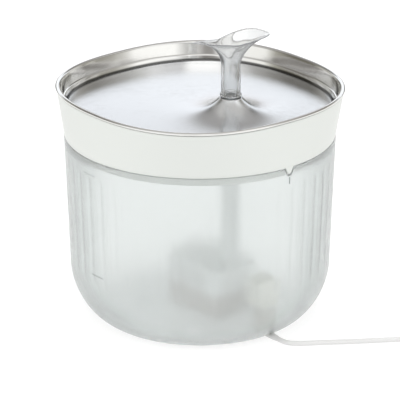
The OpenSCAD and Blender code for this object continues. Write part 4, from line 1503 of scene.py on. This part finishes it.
@dataclass
class LeafSpout:
    """The clear leaf spout with its stem, flange and spigot, and its silicone seat."""

    place: Flat = (0.0, 32.0)
    foot_z: float = 163.48
    stem: Flat = (6.5, 4.55)
    flange: Flat = (7.2, 1.3)
    spigot: Flat = (5.0, 8.0)
    stem_heights: Flat = (8.0, 15.0)
    bore_heights: Flat = (12.0, 4.0)
    neck_height: float = 2.0
    leaf_height: float = 37.0
    flare: float = 21.0
    half_length: float = 32.2
    half_width: float = 10.1
    egg: float = 0.5
    shift: float = 2.2
    tip_rise: float = 6.6
    end_rise: float = 1.4
    power: float = 3.0
    thick: float = 1.3
    turn: float = 5.0
    count: int = 144
    rings: int = 26

    def edge(self, t: float, inset: float) -> Tuple[float, float, float]:
        """Point of the leaf's rim in direction t, inset towards the middle.

        Args:
            t: Direction in radians, with the tip along +X.
            inset: Distance in from the rim.

        Returns:
            X and Y from the stem, and the height over the flange's foot.
        """
        c = math.copysign(abs(math.cos(t)) ** (2 / self.power), math.cos(t))
        s = math.copysign(abs(math.sin(t)) ** (2 / self.power), math.sin(t))
        wide = self.half_width * (1 - self.egg * c) - inset
        rise = (self.tip_rise if c > 0 else self.end_rise) * abs(c)
        return self.shift + (self.half_length - inset) * c, wide * s, self.leaf_height + rise

    def flare_ring(self, share: float, radius: float, start: float, inset: float) -> list:
        """Ring of the flare.

        Args:
            share: 0 for the stem, 1 for the leaf's rim.
            radius: Radius at the stem.
            start: Height of the flare's start over the flange's foot.
            inset: Distance in from the leaf's rim.

        Returns:
            The points.
        """
        points = []
        a = math.radians(90 * share)
        wide = 1 - math.cos(a)
        up = 0.75 * math.sin(a) + 0.25 * wide
        for i in range(self.count):
            t = math.tau * i / self.count
            x, y, top = self.edge(t, inset)
            x = radius * math.cos(t) * (1 - wide) + x * wide
            y = radius * math.sin(t) * (1 - wide) + y * wide
            points.append(self.turned(x, y, self.foot_z + start + (top - start) * up))
        return points

    def turned(self, x: float, y: float, z: float) -> Point:
        """Puts a point of the spout into the fountain's frame.

        Args:
            x: Place along the leaf, from the stem.
            y: Place across the leaf, from the stem.
            z: Height in the fountain's frame.

        Returns:
            The point.
        """
        along, across = math.cos(math.radians(self.turn)), math.sin(math.radians(self.turn))
        return self.place[0] + x * along - y * across, self.place[1] + x * across + y * along, z

    def level(self, radius: float, z: float) -> list:
        """A level ring round the stem's axis.

        Args:
            radius: Its radius.
            z: Its height over the flange's foot.

        Returns:
            The points.
        """
        turn = math.tau / self.count
        return [
            self.turned(radius * math.cos(i * turn), radius * math.sin(i * turn), self.foot_z + z)
            for i in range(self.count)
        ]

    def build(self) -> Piece:
        """Makes the spout as one closed skin, and dresses its seat.

        Returns:
            The spout.
        """
        stem, bore = self.stem
        flange, thick = self.flange
        spigot, deep = self.spigot
        foot = [
            (spigot - 1, -deep), (spigot - 0.2, -deep), (spigot, -deep + 0.4), (spigot, 0.0),
            (flange - 0.2, 0.0), (flange, 0.25), (flange, thick - 0.3), (flange - 0.2, thick),
            (stem + 0.2, thick + 0.05), (stem, thick + 0.3), *((stem, z) for z in self.stem_heights),
        ]
        steps = [k / self.rings for k in range(self.rings + 1)]
        rings = [self.level(radius, z) for radius, z in foot]
        rings += [self.flare_ring(share, stem, self.flare, 0.0) for share in steps]
        rings += [self.flare_ring(share, bore, self.flare - 1, self.thick) for share in reversed(steps)]
        rings += [self.level(bore, z) for z in self.bore_heights]
        rings.append(self.level(spigot - 1, self.neck_height))
        spout = Shape.loft("leaf_spout", rings, True, 38.0)
        dress(spout, CLEAR, "spout", ["spout"])
        dress_node("spout_seat", SILICONE)
        log.info("spout: %d rings of %d points", len(rings), self.count)
        return spout


# Filter, pump and socket -----------------------------------------------------------------------------------


@dataclass
class InnerParts:
    """The pieces inside the tub, which keep their CAD shapes."""

    finishes: dict = field(
        default_factory=lambda: {
            "filter_holder": INNER_WHITE, "filter_frame": INNER_WHITE, "carbon_bed": CARBON,
            "filter_felt": FELT, "riser_tube": PALE_RUBBER, "pump_body": PUMP_GREY,
            "volute_cap": INNER_WHITE, "pump_cover": PUMP_PALE, "pump_foam": FOAM,
            "impeller": INNER_WHITE, "impeller_shaft": CERAMIC, "flow_slider": DARK_RUBBER,
            "suction_cups": SILICONE, "power_socket": SOCKET_WHITE, "socket_seal": PALE_RUBBER,
            "socket_nut": NICKEL, "pump_lead": JACKET,
        }
    )

    def build(self) -> None:
        """Gives each of them its finish."""
        for name, finish in self.finishes.items():
            dress_node(name, finish)
        log.info("inner parts: %d", len(self.finishes))


def main() -> None:
    """Builds the scene in order."""
    logging.basicConfig(level=logging.INFO, format="%(message)s")
    ViewPoint().build()
    Cable().build()
    Studio().build()
    Tub().build()
    Collar().build()
    DrinkingTray().build()
    LeafSpout().build()
    InnerParts().build()
    bpy.context.view_layer.update()


if __name__ == "__main__":
    main()
